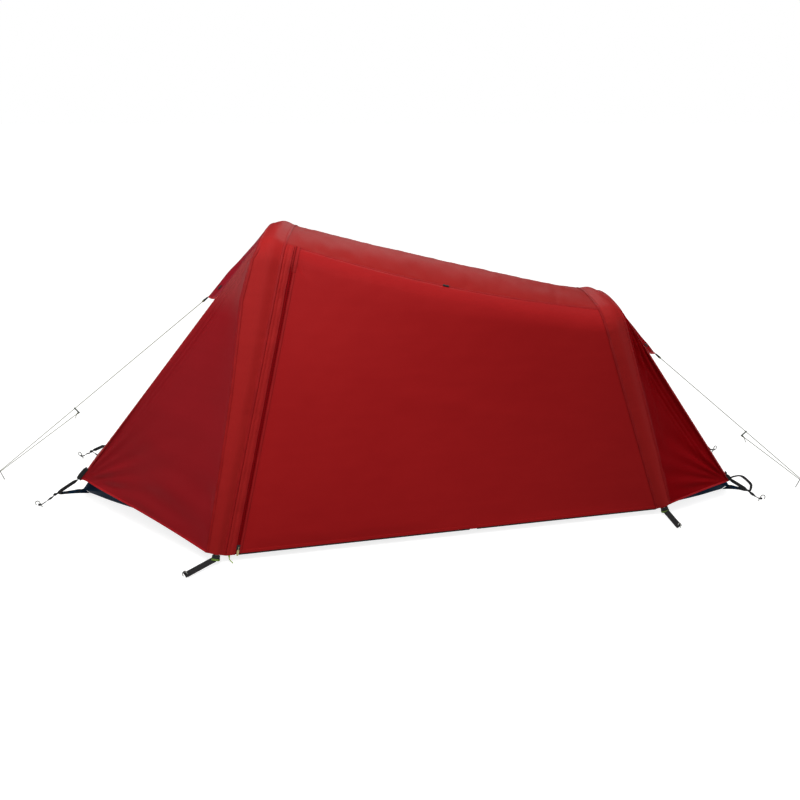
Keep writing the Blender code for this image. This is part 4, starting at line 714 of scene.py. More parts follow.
def blended(shares, places, points):
    """Points read off at shares between points that stand at places."""
    points = np.asarray(points, float)
    return np.stack([np.interp(shares, places, points[:, k]) for k in range(3)], axis=1)


def resample(line, shares):
    """Points along a line at shares of its length."""
    along = spans(line)
    return blended(np.asarray(shares) * along[-1], along, line)


def even(count):
    return np.linspace(0.0, 1.0, count)


def smooth_line(points, count):
    """A Catmull-Rom line through points."""
    points = np.asarray(points, float)
    ends = np.vstack([2 * points[0] - points[1], points, 2 * points[-1] - points[-2]])
    fine = []
    for place in range(1, len(ends) - 2):
        a, b, c, d = ends[place - 1:place + 3]
        for t in np.linspace(0, 1, 12, endpoint=False):
            fine.append(0.5 * (2 * b + (c - a) * t + (2 * a - 5 * b + 4 * c - d) * t * t
                               + (3 * b - a - 3 * c + d) * t ** 3))
    fine.append(points[-1])
    return resample(fine, even(count))


def step(value, low, high):
    t = np.clip((value - low) / (high - low), 0.0, 1.0)
    return t * t * (3 - 2 * t)


def arch(share):
    """Zero at both ends and one in the middle."""
    return 4 * share * (1 - share)


def bell(value, middle, width):
    return np.exp(-((value - middle) / width) ** 2)


def ripple(x, y, seed, low, high, count=9):
    """A smooth field of plane waves with spatial frequencies, in turns per metre, from low to high."""
    dice = np.random.default_rng(seed)
    total = np.zeros(np.broadcast(x, y).shape)
    for _ in range(count):
        turn = dice.uniform(0, pi)
        rate = dice.uniform(low, high) * 2 * pi
        total += np.sin(rate * (np.asarray(x) * cos(turn) + np.asarray(y) * sin(turn)) + dice.uniform(0, 2 * pi))
    return total / np.sqrt(count)


def rim(u, v, width_u, width_v):
    """One inside a panel and zero on its edges."""
    return step(u, 0, width_u) * step(1 - u, 0, width_u) * step(v, 0, width_v) * step(1 - v, 0, width_v)


def coil(start, reach, turns, count, wide, tall, radius, uneven=0.0):
    """Points wound round a line, from its start along its reach."""
    share = even(count)[:, None]
    angle = 2 * pi * turns * share
    return start + reach * share + (wide * np.cos(angle) + tall * np.sin(angle)) * (
        radius + uneven * np.sin(angle * 1.7))


# ---------------------------------------------------------------- grids of points
def normals_of(points):
    """Unit normals of a grid of points."""
    cross = np.cross(np.gradient(points, axis=1), np.gradient(points, axis=0))
    return cross / np.maximum(length_of(cross)[..., None], 1e-12)


def grid_area(points):
    a = points[1:, 1:] - points[:-1, :-1]
    b = points[1:, :-1] - points[:-1, 1:]
    return float(length_of(np.cross(a, b)).sum() / 2)


def push(points, height, out):
    """Move a grid's points along their normals, towards out where height is positive."""
    normal = normals_of(points)
    turn = np.sign((normal * np.asarray(out)).sum(-1, keepdims=True).mean())
    height = np.broadcast_to(height, points.shape[:2])
    return points + normal * turn * height[..., None]


def coons(left, right, bottom, top):
    """Fill four edges with a grid. Rows run from bottom to top."""
    v = spans(left)
    v = (v / v[-1])[:, None, None]
    u = even(len(bottom))[None, :, None]
    across = left[:, None] + (right - left)[:, None] * u
    upward = bottom[None] + (top - bottom)[None] * v
    low = left[0] + (right[0] - left[0]) * u
    high = left[-1] + (right[-1] - left[-1]) * u
    return across + upward - (low + (high - low) * v)


def spread(u, v):
    """Shares along the rows and up the columns, one pair for each point of a grid."""
    return np.broadcast_to(u, (len(v), len(u))), np.broadcast_to(np.asarray(v)[:, None], (len(v), len(u)))


def shares_of(points):
    """u and v of a grid's points, as coons lays them."""
    v = spans(points[:, 0])
    return spread(even(points.shape[1]), v / v[-1])


# ---------------------------------------------------------------- meshes
BAND_PROFILE = ((-0.5, 0.0), (-0.47, 0.8), (-0.3, 1.0), (0.0, 0.82), (0.3, 1.0), (0.47, 0.8), (0.5, 0.0))
HEM_PROFILE = ((1.0, 0.15), (0.97, 1.0), (0.6, 0.9), (0.25, 1.0), (0.03, 0.9), (-0.03, 0.0), (0.03, -0.9),
               (0.25, -1.0), (0.6, -0.9), (0.97, -1.0), (1.0, -0.15))
STRAP_PROFILE = ((-1, -0.25), (-0.93, -0.5), (-0.5, -0.5), (0, -0.5), (0.5, -0.5), (0.93, -0.5), (1, -0.25),
                 (1, 0.25), (0.93, 0.5), (0.5, 0.5), (0, 0.5), (-0.5, 0.5), (-0.93, 0.5), (-1, 0.25))


def dress(item, slot=None, node=None, body=TENT):
    """Say which CAD node a piece stands for, which body carries it and which material slot it has."""
    if node:
        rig.replaces(item, node)
    if body:
        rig.ride(item, body)
    if slot:
        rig.slot(item, slot)
    return item


@contextmanager
def editing(mesh):
    """A mesh's editable form, written back at the end."""
    form = bmesh.new()
    form.from_mesh(mesh)
    yield form
    form.to_mesh(mesh)
    form.free()


def mesh_object(name, mesh, material, sharp=None):
    mesh.shade_smooth()
    mesh.materials.append(material)
    if sharp:
        mesh.set_sharp_from_angle(angle=radians(sharp))
    return link_object(name, mesh)


def grid_faces(rows, columns):
    index = np.arange(rows * columns).reshape(rows, columns)
    return index, np.stack([index[:-1, :-1], index[:-1, 1:], index[1:, 1:], index[1:, :-1]], axis=-1)


def cloth_mesh(name, points, faces):
    """A mesh over a grid of points, whose UVs say how far each one lies along its row and up its column."""
    mesh = bpy.data.meshes.new(name)
    mesh.from_pydata(points.reshape(-1, 3).tolist(), [], faces)
    across = np.cumsum(length_of(np.diff(points, axis=1, prepend=points[:, :1])), axis=1)
    up = np.cumsum(length_of(np.diff(points, axis=0, prepend=points[:1])), axis=0)
    flat = np.stack([across, up], axis=-1).reshape(-1, 2).astype(np.float32)
    loops = np.zeros(len(mesh.loops), np.int32)
    mesh.loops.foreach_get("vertex_index", loops)
    mesh.uv_layers.new(name="cut").data.foreach_set("uv", flat[loops].ravel())
    return mesh


def grid_piece(name, points, material, out, drop=None):
    """A cloth grid as an object, its faces turned to face out. Faces marked in drop are left out."""
    _, faces = grid_faces(*points.shape[:2])
    if drop is not None:
        faces = faces[~drop]
    faces = faces.reshape(-1, 4)
    if (normals_of(points) * np.asarray(out)).sum(-1).mean() < 0:
        faces = faces[:, ::-1]
    mesh = cloth_mesh(name, points, faces.tolist())
    if drop is not None:
        with editing(mesh) as form:
            bmesh.ops.delete(form, geom=[v for v in form.verts if not v.link_faces], context="VERTS")
    return mesh_object(name, mesh, material)


def tube_piece(name, rings, material, caps=True, sharp=50):
    """A skin over matching closed rings of points."""
    rings = np.asarray(rings, float)
    rings = np.concatenate([rings, rings[:, :1]], axis=1)
    index, faces = grid_faces(*rings.shape[:2])
    faces = faces.reshape(-1, 4).tolist()
    if caps:
        faces += [index[0, :-1][::-1].tolist(), index[-1, :-1].tolist()]
    mesh = cloth_mesh(name, rings, faces)
    with editing(mesh) as form:
        bmesh.ops.remove_doubles(form, verts=form.verts, dist=1e-6)
        bmesh.ops.recalc_face_normals(form, faces=form.faces)
    return mesh_object(name, mesh, material, sharp)


def strap_piece(name, path, sides, width, count, thickness=WEBBING_THICKNESS, pinch=0.0, node=None):
    """Flat webbing with rounded edges along a smooth path. Its sides are one direction, or (share, direction) pairs."""
    line = smooth_line(path, count)
    along = unit(np.gradient(line, axis=0))
    if isinstance(sides, list):
        sides = blended(even(count), [share for share, _ in sides], [side for _, side in sides])
    wide = without(np.asarray(sides, float), along)
    thin = np.cross(along, wide)
    half = width / 2 * (1 - pinch * np.sin(pi * even(count)))[:, None]
    rings = np.stack([line + wide * half * a + thin * thickness * b for a, b in STRAP_PROFILE], axis=1)
    return dress(tube_piece(name, rings, WEB_BLACK), "webbing", node)


def cord_piece(name, line, radius, material, body=TENT):
    """A round cord as a curve through points."""
    curve = bpy.data.curves.new(name, "CURVE")
    curve.dimensions = "3D"
    curve.bevel_depth = radius
    curve.bevel_resolution = 4
    curve.use_fill_caps = True
    spline = curve.splines.new("POLY")
    spline.points.add(len(line) - 1)
    for item, point in zip(spline.points, line):
        item.co = (*[float(x) for x in point], 1.0)
    spline.use_smooth = True
    curve.materials.append(material)
    return dress(link_object(name, curve), body=body)


def band(name, line, across, normal, size, material=SEAM_RED, slot=None, body=TENT):
    """A sewn strip that lies on cloth: its long edges touch the cloth and its middle stands proud."""
    width, lift, puckers = size
    across = np.broadcast_to(across, line.shape)
    normal = np.broadcast_to(normal, line.shape)
    along = spans(line)
    wave = 1 + puckers * np.sin(along * 2 * pi / 0.017 + 2 * np.sin(along * 21))
    rings = np.stack([line + across * width * a + normal * (lift * b * wave)[:, None] for a, b in BAND_PROFILE],
                     axis=1)
    return dress(grid_piece(name, rings, material, normal.mean(0)), slot, body=body)


def hem_trim(name, line, upward, out, width, material, body=TENT):
    """A doubled hem along a line, folded to both faces of the cloth."""
    along = unit(np.gradient(line, axis=0))
    rise = without(np.broadcast_to(np.asarray(upward, float), line.shape), along)
    normal = np.cross(along, rise)
    normal = normal * np.sign((normal * np.asarray(out)).sum(-1).mean())
    wave = 1 + 0.25 * np.sin(spans(line) * 2 * pi / 0.023)
    rings = np.stack([line + rise * width * a + normal * (HEM_LIFT * b * wave)[:, None] for a, b in HEM_PROFILE],
                     axis=1)
    return dress(tube_piece(name, rings, material), body=body)


def shadowed_hem(name, line, upward, out, body=TENT):
    """The fly's lower hem on a side, with a black stitched strip under it (its piece is named with _binding) that
    paints the shadow under the hem.
    """
    return [hem_trim(name, line, upward, out, HEM_WIDTH, RED, body),
            hem_trim(name + "_binding", line - UP * HEM_SHADOW_DROP, UP, out, HEM_SHADOW_WIDTH, HEM_SHADOW_BLACK, body)]


def sewn_line(line, out):
    """A line just proud of the cloth, with the directions across it and out of it, for a band."""
    along = unit(np.gradient(line, axis=0))
    normal = without(out, along)
    return line + normal * SEAM_RAISE, np.cross(along, normal), normal


def rounded_block(name, centre, axes, size, radius):
    """A block with rounded edges."""
    mesh = bpy.data.meshes.new(name)
    with editing(mesh) as form:
        bmesh.ops.create_cube(form, size=1.0)
        for vertex in form.verts:
            vertex.co = centre + sum(axes[k] * size[k] * vertex.co[k] for k in range(3))
        bmesh.ops.bevel(form, geom=form.edges[:], offset=radius, segments=3, affect="EDGES", profile=0.5)
        bmesh.ops.recalc_face_normals(form, faces=form.faces)
    return dress(mesh_object(name, mesh, WEB_BLACK, 45))


BOTH_SLEEVES = ("front_sleeve_cloth", "rear_sleeve_cloth")


class Panel:
    """A sheet of cloth as a grid of points. Shares u run along its rows and v up its columns."""

    def __init__(self, grid, out, shares=None):
        self.grid = self.base = grid
        self.out = out
        self.u, self.v = shares or shares_of(grid)

    def places(self):
        return self.grid[..., 0], self.grid[..., 1], self.grid[..., 2]

    def sag(self, depth, way):
        """Bow the middle one way by a depth."""
        self.grid = self.base = self.grid + way * (depth * arch(self.u) * arch(self.v))[..., None]

    def wrinkle(self, height, width_u, width_v):
        """Raise wrinkles, which fade within a share of the edges."""
        self.grid = push(self.grid, height * rim(self.u, self.v, width_u, width_v), self.out)

    def make(self, name, material, slot, node=None, body=TENT, drop=None):
        self.item = dress(grid_piece(name, self.grid, material, self.out, drop), slot, node, body)
        return self.item

    def trim(self, name, row, inner, width, material=TRIM_RED, out=None):
        """A hem along one row, turned towards an inner row."""
        out = self.out if out is None else out
        return hem_trim(name, self.grid[row], self.grid[inner] - self.grid[row], out, width, material)

    def declare(self, flat, rests_on, with_pieces=(), held="stretched"):
        """Say which sheet of cloth this is: its cut size, and the area of that cut without its wrinkles."""
        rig.sheet(self.item, flat=flat, held=held, rests_on=list(rests_on),
                 area=min(grid_area(self.base), flat[0] * flat[1]), with_pieces=list(with_pieces))


# ---------------------------------------------------------------- the hoops
class Hoop:
    """The pole's line: q runs 0 to 1 up the near leg, to 2 round the shoulder, 3 at the apex, and on to 6."""

    def __init__(self, foot_x, apex_x, height, half_width, crown_half, crown_slope, shoulder, twist, flare):
        lean = np.array((apex_x - foot_x, 0.0, height))
        self.length = length_of(lean)
        self.up = lean / self.length
        self.across = np.cross(SIDEWAYS, self.up)
        self.foot = np.array((foot_x, 0.0, 0.0))
        self.half_width = half_width
        self.slope = crown_slope
        self.shoulder = shoulder
        self.crown_radius = crown_half / sin(crown_slope)
        self.twist = twist
        self.flare = flare
        # The leg's angle, halved in until its rise and its run meet
        low = crown_slope + 0.01
        high = pi / 2 - 0.01
        for _ in range(60):
            angle = (low + high) / 2
            rise = self.length - shoulder * (cos(crown_slope) - cos(angle))
            rise -= self.crown_radius * (1 - cos(crown_slope))
            run = half_width - shoulder * (sin(angle) - sin(crown_slope)) - crown_half
            if run / cos(angle) < rise / sin(angle):
                low = angle
            else:
                high = angle
        self.angle = angle
        self.leg_length = rise / sin(angle)
        end_y = -half_width + self.leg_length * cos(angle)
        end_v = self.leg_length * sin(angle)
        self.centre = (end_y + shoulder * sin(angle), end_v - shoulder * cos(angle))

    def station(self, q):
        """Across and up in the hoop's plane, the line's turn, the share up the leg, and q from the nearer foot."""
        q = np.asarray(q, float)
        over = q > Q_APEX
        w = np.where(over, Q_END - q, q)
        reach = SLEEVE_START + (self.leg_length - SLEEVE_START) * np.minimum(w, 1.0)
        y = -self.half_width + reach * cos(self.angle)
        v = reach * sin(self.angle)
        turn = np.full(q.shape, self.angle)
        t = np.clip(w - 1, 0, 1)
        bend = self.angle + (self.slope - self.angle) * t
        y = np.where(w > 1, self.centre[0] - self.shoulder * np.sin(bend), y)
        v = np.where(w > 1, self.centre[1] + self.shoulder * np.cos(bend), v)
        turn = np.where(w > 1, bend, turn)
        t = np.clip(w - 2, 0, 1)
        crown = self.slope * (1 - t)
        y = np.where(w > 2, -self.crown_radius * np.sin(crown), y)
        v = np.where(w > 2, self.length - self.crown_radius * (1 - np.cos(crown)), v)
        turn = np.where(w > 2, crown, turn)
        return np.where(over, -y, y), v, np.where(over, -turn, turn), np.clip(w, 0, 1), w

    def point(self, q):
        y, v, _, _, _ = self.station(q)
        return self.foot + SIDEWAYS * y[..., None] + self.up * v[..., None]

    def axes(self, q):
        """The directions across the sleeve and out of it."""
        _, _, turn, share, _ = self.station(q)
        outward = self.up * np.cos(turn)[..., None] - SIDEWAYS * np.sin(turn)[..., None]
        twist = (self.twist[0] + (self.twist[1] - self.twist[0]) * share)[..., None]
        return (self.across * np.cos(twist) - outward * np.sin(twist),
                outward * np.cos(twist) + self.across * np.sin(twist))

    def half(self, q, side):
        """The sleeve's width from the pole to one edge."""
        _, _, _, share, w = self.station(q)
        half = SLEEVE_FOOT_HALF + (SLEEVE_CROWN_HALF - SLEEVE_FOOT_HALF) * share
        if side < 0 and len(self.flare):
            place = np.where(w < 1, w * LEG_STEPS, LEG_STEPS + (w - 1) * SHOULDER_STEPS)
            half = half + np.interp(place, np.arange(len(self.flare)), self.flare)
        return half

    def droop(self, q, side):
        """How far the sleeve's outer edge hangs below its own plane over the crown."""
        w = self.station(q)[4]
        if side > 0 or not len(self.flare):
            return np.zeros(np.shape(w))
        return CROWN_DROOP * (0.6 * step(w, 1.2, 1.9) + 0.4 * step(w, 1.9, 2.5))

    def edge(self, q, side, gap=SEW_GAP):
        q = np.asarray(q, float)
        return self.point(q) + self.axes(q)[0] * (side * (self.half(q, side) + gap))[..., None]

    def sewn_edge(self, q, side, gap=SEW_GAP):
        return self.edge(q, side, gap) - self.axes(q)[1] * self.droop(q, side)[..., None]

    def leg_point(self, reach, side=NEAR):
        y = -self.half_width + reach * cos(self.angle)
        return self.foot + SIDEWAYS * (-side * y) + self.up * (reach * sin(self.angle))


front = Hoop(foot_x=-0.640, apex_x=-0.440, height=1.036, half_width=0.655, crown_half=0.190,
             crown_slope=radians(12), shoulder=0.110, twist=(0.0, 0.0), flare=FRONT_FLARE)
rear = Hoop(foot_x=1.000, apex_x=0.757, height=0.772, half_width=0.340, crown_half=0.150,
            crown_slope=radians(10), shoulder=0.085, twist=(radians(8), radians(25)), flare=())


def seam_point(share, side):
    """The seam between the roof and a side."""
    q = SEAM_Q if side == NEAR else Q_END - SEAM_Q
    share = np.asarray(share, float)
    line = lerp(front.edge(q, 1), rear.edge(q, -1), share)
    return line - UP * (ROOF_SEAM_SAG * arch(share))[..., None]


# ---------------------------------------------------------------- the door's plane
hem_front = front.edge(0.0, 1)
hem_rear = rear.edge(0.0, -1)
plane_start = hem_front - front.across * SEW_GAP
plane_reach = front.edge(1.0, 1, 0) - plane_start
plane_along = unit(plane_reach)
plane_out = unit_toward(np.cross(hem_rear - hem_front, plane_along), -SIDEWAYS)
plane_side = unit_toward(np.cross(plane_along, plane_out), ONWARD)
plane_top = length_of(plane_reach) - SEW_GAP


def plane_at(side, along, out=0.0):
    side, along, out = np.broadcast_arrays(np.asarray(side, float), along, out)
    return plane_start + side[..., None] * plane_side + along[..., None] * plane_along + out[..., None] * plane_out


hinge_bottom = lerp(hem_front, hem_rear, (DOOR_HEM_X - hem_front[0]) / (hem_rear[0] - hem_front[0]))
hinge_top = plane_at(ZIP_OFFSET + TAPE_EDGE + ZIP_TAPE_WIDTH + FOLD_GAP, plane_top)
hinge_side = unit_toward(np.cross(unit(hinge_bottom - hinge_top), plane_out), -ONWARD)
hem_reach = hinge_bottom - plane_start
hem_slope = (hem_reach @ plane_along) / (hem_reach @ plane_side)


def beside_sleeve(offset, out, shares):
    """A line beside the front sleeve, at an offset over the cloth, from the hem over the shoulder to the roof seam."""
    leg = plane_at(offset, np.linspace(offset * hem_slope, plane_top, 60), out)
    q = np.linspace(1.0, SEAM_Q, 24)[1:]
    t = ((q - 1) / (SEAM_Q - 1))[:, None]
    across, outward = front.axes(q)
    over = front.edge(q, 1, 0) + unit(plane_side * (1 - t) + across * t) * offset
    over = over + unit(plane_out * (1 - t) + outward * t) * out
    return resample(np.vstack([leg, over]), shares)


# ---------------------------------------------------------------- pole sleeves
def build_sleeve(prefix, hoop, seed):
    """A strip sewn along both edges round the pole: flat webs, a rounded ridge over the pole and small puckers."""
    name = prefix + "_sleeve_cloth"
    fine = np.linspace(0, Q_END, 400)
    reach = spans(hoop.point(fine))
    q = np.interp(even(SLEEVE_GRID[0]), reach / reach[-1], fine)
    centre = hoop.point(q)
    across, outward = hoop.axes(q)
    along = spans(centre)
    ridge = SLEEVE_DEPTH - 0.0002
    fall = hoop.droop(q, -1)
    places = np.linspace(-1, 1, SLEEVE_GRID[1])

    def line_at(reach, height):
        return centre + across * reach[:, None] + outward * height[:, None]

    rings = []
    for upper, row in ((True, places), (False, places[-2:0:-1])):
        for place in row:
            share = abs(place)
            depth = ridge * (0.5 + 0.5 * cos(pi * share)) ** 0.85
            if place < 0:
                depth = depth + (ridge * (1 - share * share) - depth) * fall / CROWN_DROOP * 0.75
            if not upper:
                depth = -SLEEVE_DEPTH * 0.80 * (1 - share) ** 1.1
            dent = 0.0010 * (1 - abs(2 * share - 1)) * ripple(along, place * 0.02, seed, 2, 9)
            dent += 0.0003 * arch(share * share) * ripple(along, place * 0.01, seed + 5, 25, 60)
            height = depth + (dent if share > 0.15 else dent * 0.3) * (1 if upper else 0.5)
            if place < 0:
                height = height - fall * share ** 1.7
            rings.append(line_at(hoop.half(q, 1 if place > 0 else -1) * place, height))
    rings = np.stack(rings, axis=1)
    item = tube_piece(name, rings, RED_SLEEVE, caps=False, sharp=60)
    dress(item, "ripstop_sleeve", prefix + "_pole_sleeve")
    girth = float(length_of(np.diff(rings, axis=1, append=rings[:, :1])).sum(1).mean())
    trims = []
    for side, tag, turned_in in ((1, "rear", 0.0024), (-1, "front", 0.0050)):
        half = hoop.half(q, side)
        hang = hoop.droop(q, side)
        allowance = np.stack([line_at(side * (half + reach), -depth - hang) for reach, depth in
                              ((-0.0060, 0.0014), (0.0002, 0.0012), (0.0050, turned_in))], axis=1)
        # The allowances take the darker end red, the painted-shade copy of the fly's red.
        trims.append(dress(grid_piece(name + "_allowance_" + tag, allowance, RED_END_PAINTED_SHADE, UP), "ripstop_sleeve"))
        inner = line_at(side * (half - 0.0045), 0.0010 - hang * 0.87)
        trims.append(band(name + "_seam_" + tag, inner, across, outward, SLEEVE_SEAM, slot="ripstop_sleeve"))
    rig.sheet(item, flat=(girth / 2, line_length(centre)), held="stretched", rests_on=[prefix + "_pole_crown"],
             with_pieces=trims)


build_sleeve("front", front, 3)
build_sleeve("rear", rear, 8)


# ---------------------------------------------------------------- roof and sides of the flysheet
def seam_band(name, side):
    """The flat seam where the roof joins a side."""
    out = unit(np.array((0.12, 0.62 * side, 0.78)))
    return band(name, *sewn_line(seam_point(even(170), side), out), ROOF_SEAM)


def build_roof():
    rows, columns = ROOF_GRID
    q = np.linspace(SEAM_Q, Q_END - SEAM_Q, rows)
    left, right = front.edge(q, 1), rear.edge(q, -1)
    for line, share in ((left, 0.0), (right, 1.0)):
        line[0], line[-1] = seam_point(share, NEAR), seam_point(share, FAR)
    shares = even(columns)
    roof = Panel(coons(left, right, seam_point(shares, NEAR), seam_point(shares, FAR)), UP)
    roof.sag(ROOF_SEAM_SAG - RIDGE_SAG, UP)
    x, y, _ = roof.places()
    folds = 0.0016 * ripple(x * 0.35, y, 21, 5, 14) * (0.35 + 0.65 * np.abs(2 * roof.u - 1) ** 2)
    fine = 0.0008 * ripple(x, y * 0.3, 22, 12, 30)
    seam_pulls = 0.0010 * np.exp(-np.minimum(roof.v, 1 - roof.v) / 0.07) * ripple(x, y * 0.2, 23, 18, 40)
    roof.wrinkle(folds + fine + seam_pulls, 0.04, 0.06)
    roof.make("roof_cloth", RED_ROOF_WITH_SHEEN, "ripstop_roof", "fly_roof")
    roof.declare((0.62, 1.24), BOTH_SLEEVES, [seam_band("roof_seam_near", NEAR), seam_band("roof_seam_far", FAR)])


def side_folds(panel, seed):
    """Broad tension folds of a side panel, with pulls from its corners and finer ones along the roof seam."""
    x, _, z = panel.places()
    u, v = panel.u, panel.v
    slack = 0.0030 * ripple(x * 0.5 + z * 0.2, z * 0.4 - x * 0.1, seed, 0.5, 1.5)
    fine = 0.00015 * ripple(x * 0.7, z, seed + 1, 7, 18)
    low_folds = 0.0007 * np.exp(-(z - z.min()) / 0.10) * ripple(x, z * 0.2, seed + 2, 4, 10)
    seam_pulls = 0.0006 * np.exp(-(1 - v) / 0.06) * ripple(x, z * 0.2, seed + 3, 9, 20)
    long_fold = 0.0010 * bell(z + 0.20 * (x - 0.35), 0.42, 0.030) * step(u, 0.25, 0.45) * step(1 - u, 0.10, 0.3)
    panel.wrinkle(slack + fine + low_folds + seam_pulls + long_fold, 0.05, 0.05)


def build_far_side():
    rows, columns = FAR_GRID
    q = np.linspace(Q_END, Q_END - SEAM_Q, rows)
    left, right = front.edge(q, 1), rear.edge(q, -1)
    left[-1], right[-1] = seam_point(0.0, FAR), seam_point(1.0, FAR)
    right = resample(right, spans(left) / spans(left)[-1])
    shares = even(columns)
    out = unit(np.array((0, 1.0, 0.35)))
    side = Panel(coons(left, right, lerp(left[0], right[0], shares), seam_point(shares, FAR)), out)
    side.sag(SIDE_SAG, -out)
    side_folds(side, 61)
    side.make("far_side_cloth", RED, "ripstop_fly", "fly_far_side")
    side.declare((1.16, 1.68), BOTH_SLEEVES, shadowed_hem("far_side_hem", side.grid[0], side.grid[1] - side.grid[0], out))


def near_panel():
    """The whole near side behind the zip, as one surface."""
    rows, columns = NEAR_GRID
    left = beside_sleeve(ZIP_EDGE, 0.0011, even(rows))
    start = ZIP_EDGE / length_of(seam_point(1.0, NEAR) - seam_point(0.0, NEAR))
    shares = even(columns)
    top = seam_point(start + (1 - start) * shares, NEAR)
    right = rear.edge(np.linspace(0, SEAM_Q, 200), -1)
    left[-1], right[-1] = top[0], top[-1]
    right = resample(right, spans(left) / spans(left)[-1])
    inward = unit(np.array((0, 1.0, -0.35)))
    panel = Panel(coons(left, right, lerp(left[0], right[0], shares), top), -inward)
    panel.sag(NEAR_SAG * (0.55 + 0.45 * panel.u), inward)
    side_folds(panel, 41)
    return panel


def cut_at_fold(mesh):
    """Add edges where the door folds and where it ends, and let the cloth dip where the turned door's tape lies."""
    reaches = (-0.020, -0.012, -0.006, -0.0026, 0.0, 0.002, 0.004, 0.006, 0.008, 0.010, 0.012, FOLD_REACH)
    planes = [(hinge_top + hinge_side * reach, hinge_side) for reach in reaches]
    planes.append((plane_at(0, plane_top), plane_along))
    with editing(mesh) as form:
        for place, normal in planes:
            bmesh.ops.bisect_plane(form, geom=form.verts[:] + form.edges[:] + form.faces[:], dist=1e-6,
                                   plane_co=Vector(place), plane_no=Vector(normal))
    for vertex in mesh.vertices:
        place = np.array(vertex.co)
        arm = place - hinge_top
        dip = float(np.interp(arm @ hinge_side, (-0.012, -0.0026, 0.0, 0.0026), (0.0032, 0.0022, 0.0010, 0.0)))
        vertex.co = place - plane_out * dip * exp(-(arm @ arm) / 0.036 ** 2)


def keep_faces(mesh, wanted):
    """Keep the faces whose middle passes a test, and return their area."""
    with editing(mesh) as form:
        gone = [face for face in form.faces if not wanted(np.array(face.calc_center_median()))]
        bmesh.ops.delete(form, geom=gone, context="FACES")
    return sum(face.area for face in mesh.polygons)


def build_near_side():
    panel = near_panel()
    whole = grid_piece("near_side_cloth", panel.grid, RED, panel.out)
    cut_at_fold(whole.data)
    flap = link_object("door_cloth", whole.data.copy())

    def on_door(place):
        return (place - hinge_top) @ hinge_side > 0 and (place - plane_start) @ plane_along < plane_top

    side_area = keep_faces(whole.data, lambda place: not on_door(place))
    flap_area = keep_faces(flap.data, on_door)
    dress(whole, "ripstop_fly", "fly_near_side")
    dress(flap, "ripstop_fly", "fly_door", body=None)
    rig.blend(flap, TENT, DOOR, start=tuple(hinge_top), end=tuple(hinge_top + hinge_side * FOLD_REACH))

    hem, upward = panel.grid[0], panel.grid[1] - panel.grid[0]
    beyond = (hem - hinge_top) @ hinge_side
    fixed, moving = beyond < -0.002, beyond > FOLD_REACH
    near_hem = shadowed_hem("near_hem", hem[fixed], upward[fixed], panel.out)
    door_hem = shadowed_hem("door_hem", hem[moving], upward[moving], panel.out, DOOR)
    edge = beside_sleeve(ZIP_EDGE, 0.0014, np.linspace(0.004, 0.90, 150)) + plane_side * 0.0040
    zip_edge = band("door_zip_edge", edge, plane_side, plane_out, ZIP_SEAM, body=DOOR)
    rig.sheet(whole, flat=(1.05, 1.68), area=side_area, held="stretched", rests_on=[*BOTH_SLEEVES, "roof_cloth"],
             with_pieces=near_hem)
    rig.sheet(flap, flat=(0.90, 1.02), area=flap_area, held="hung", rests_on=["near_side_cloth", "zip_tape_door"],
             with_pieces=[*door_hem, zip_edge])


# Each profile runs over the cloth away from the front sleeve: offset, and how far out
FLAP_PROFILE = ((0.0010, 0.0006), (0.0030, 0.0034), (0.0075, 0.0040), (0.0105, 0.0030), (0.0125, 0.0022),
                (0.0150, 0.0034), (0.0200, 0.0042), (0.0245, 0.0038), (0.0275, 0.0030), (0.0300, 0.0030),
                (0.0312, 0.0022), (0.0306, 0.0014))
FLAP_WIDTH = 0.0312
FACING_PROFILE = ((0.0, -0.0002), (0.008, -0.0016), (0.018, -0.0022), (0.027, -0.0044), (0.038, -0.0048),
                  (0.050, -0.0048))
BRIDGE_PROFILE = ((0.030, -0.0004), (0.036, 0.0), (0.0432, 0.0009))


def beside_grid(profile, shares):
    return np.stack([beside_sleeve(offset, out, shares) for offset, out in profile], axis=1)


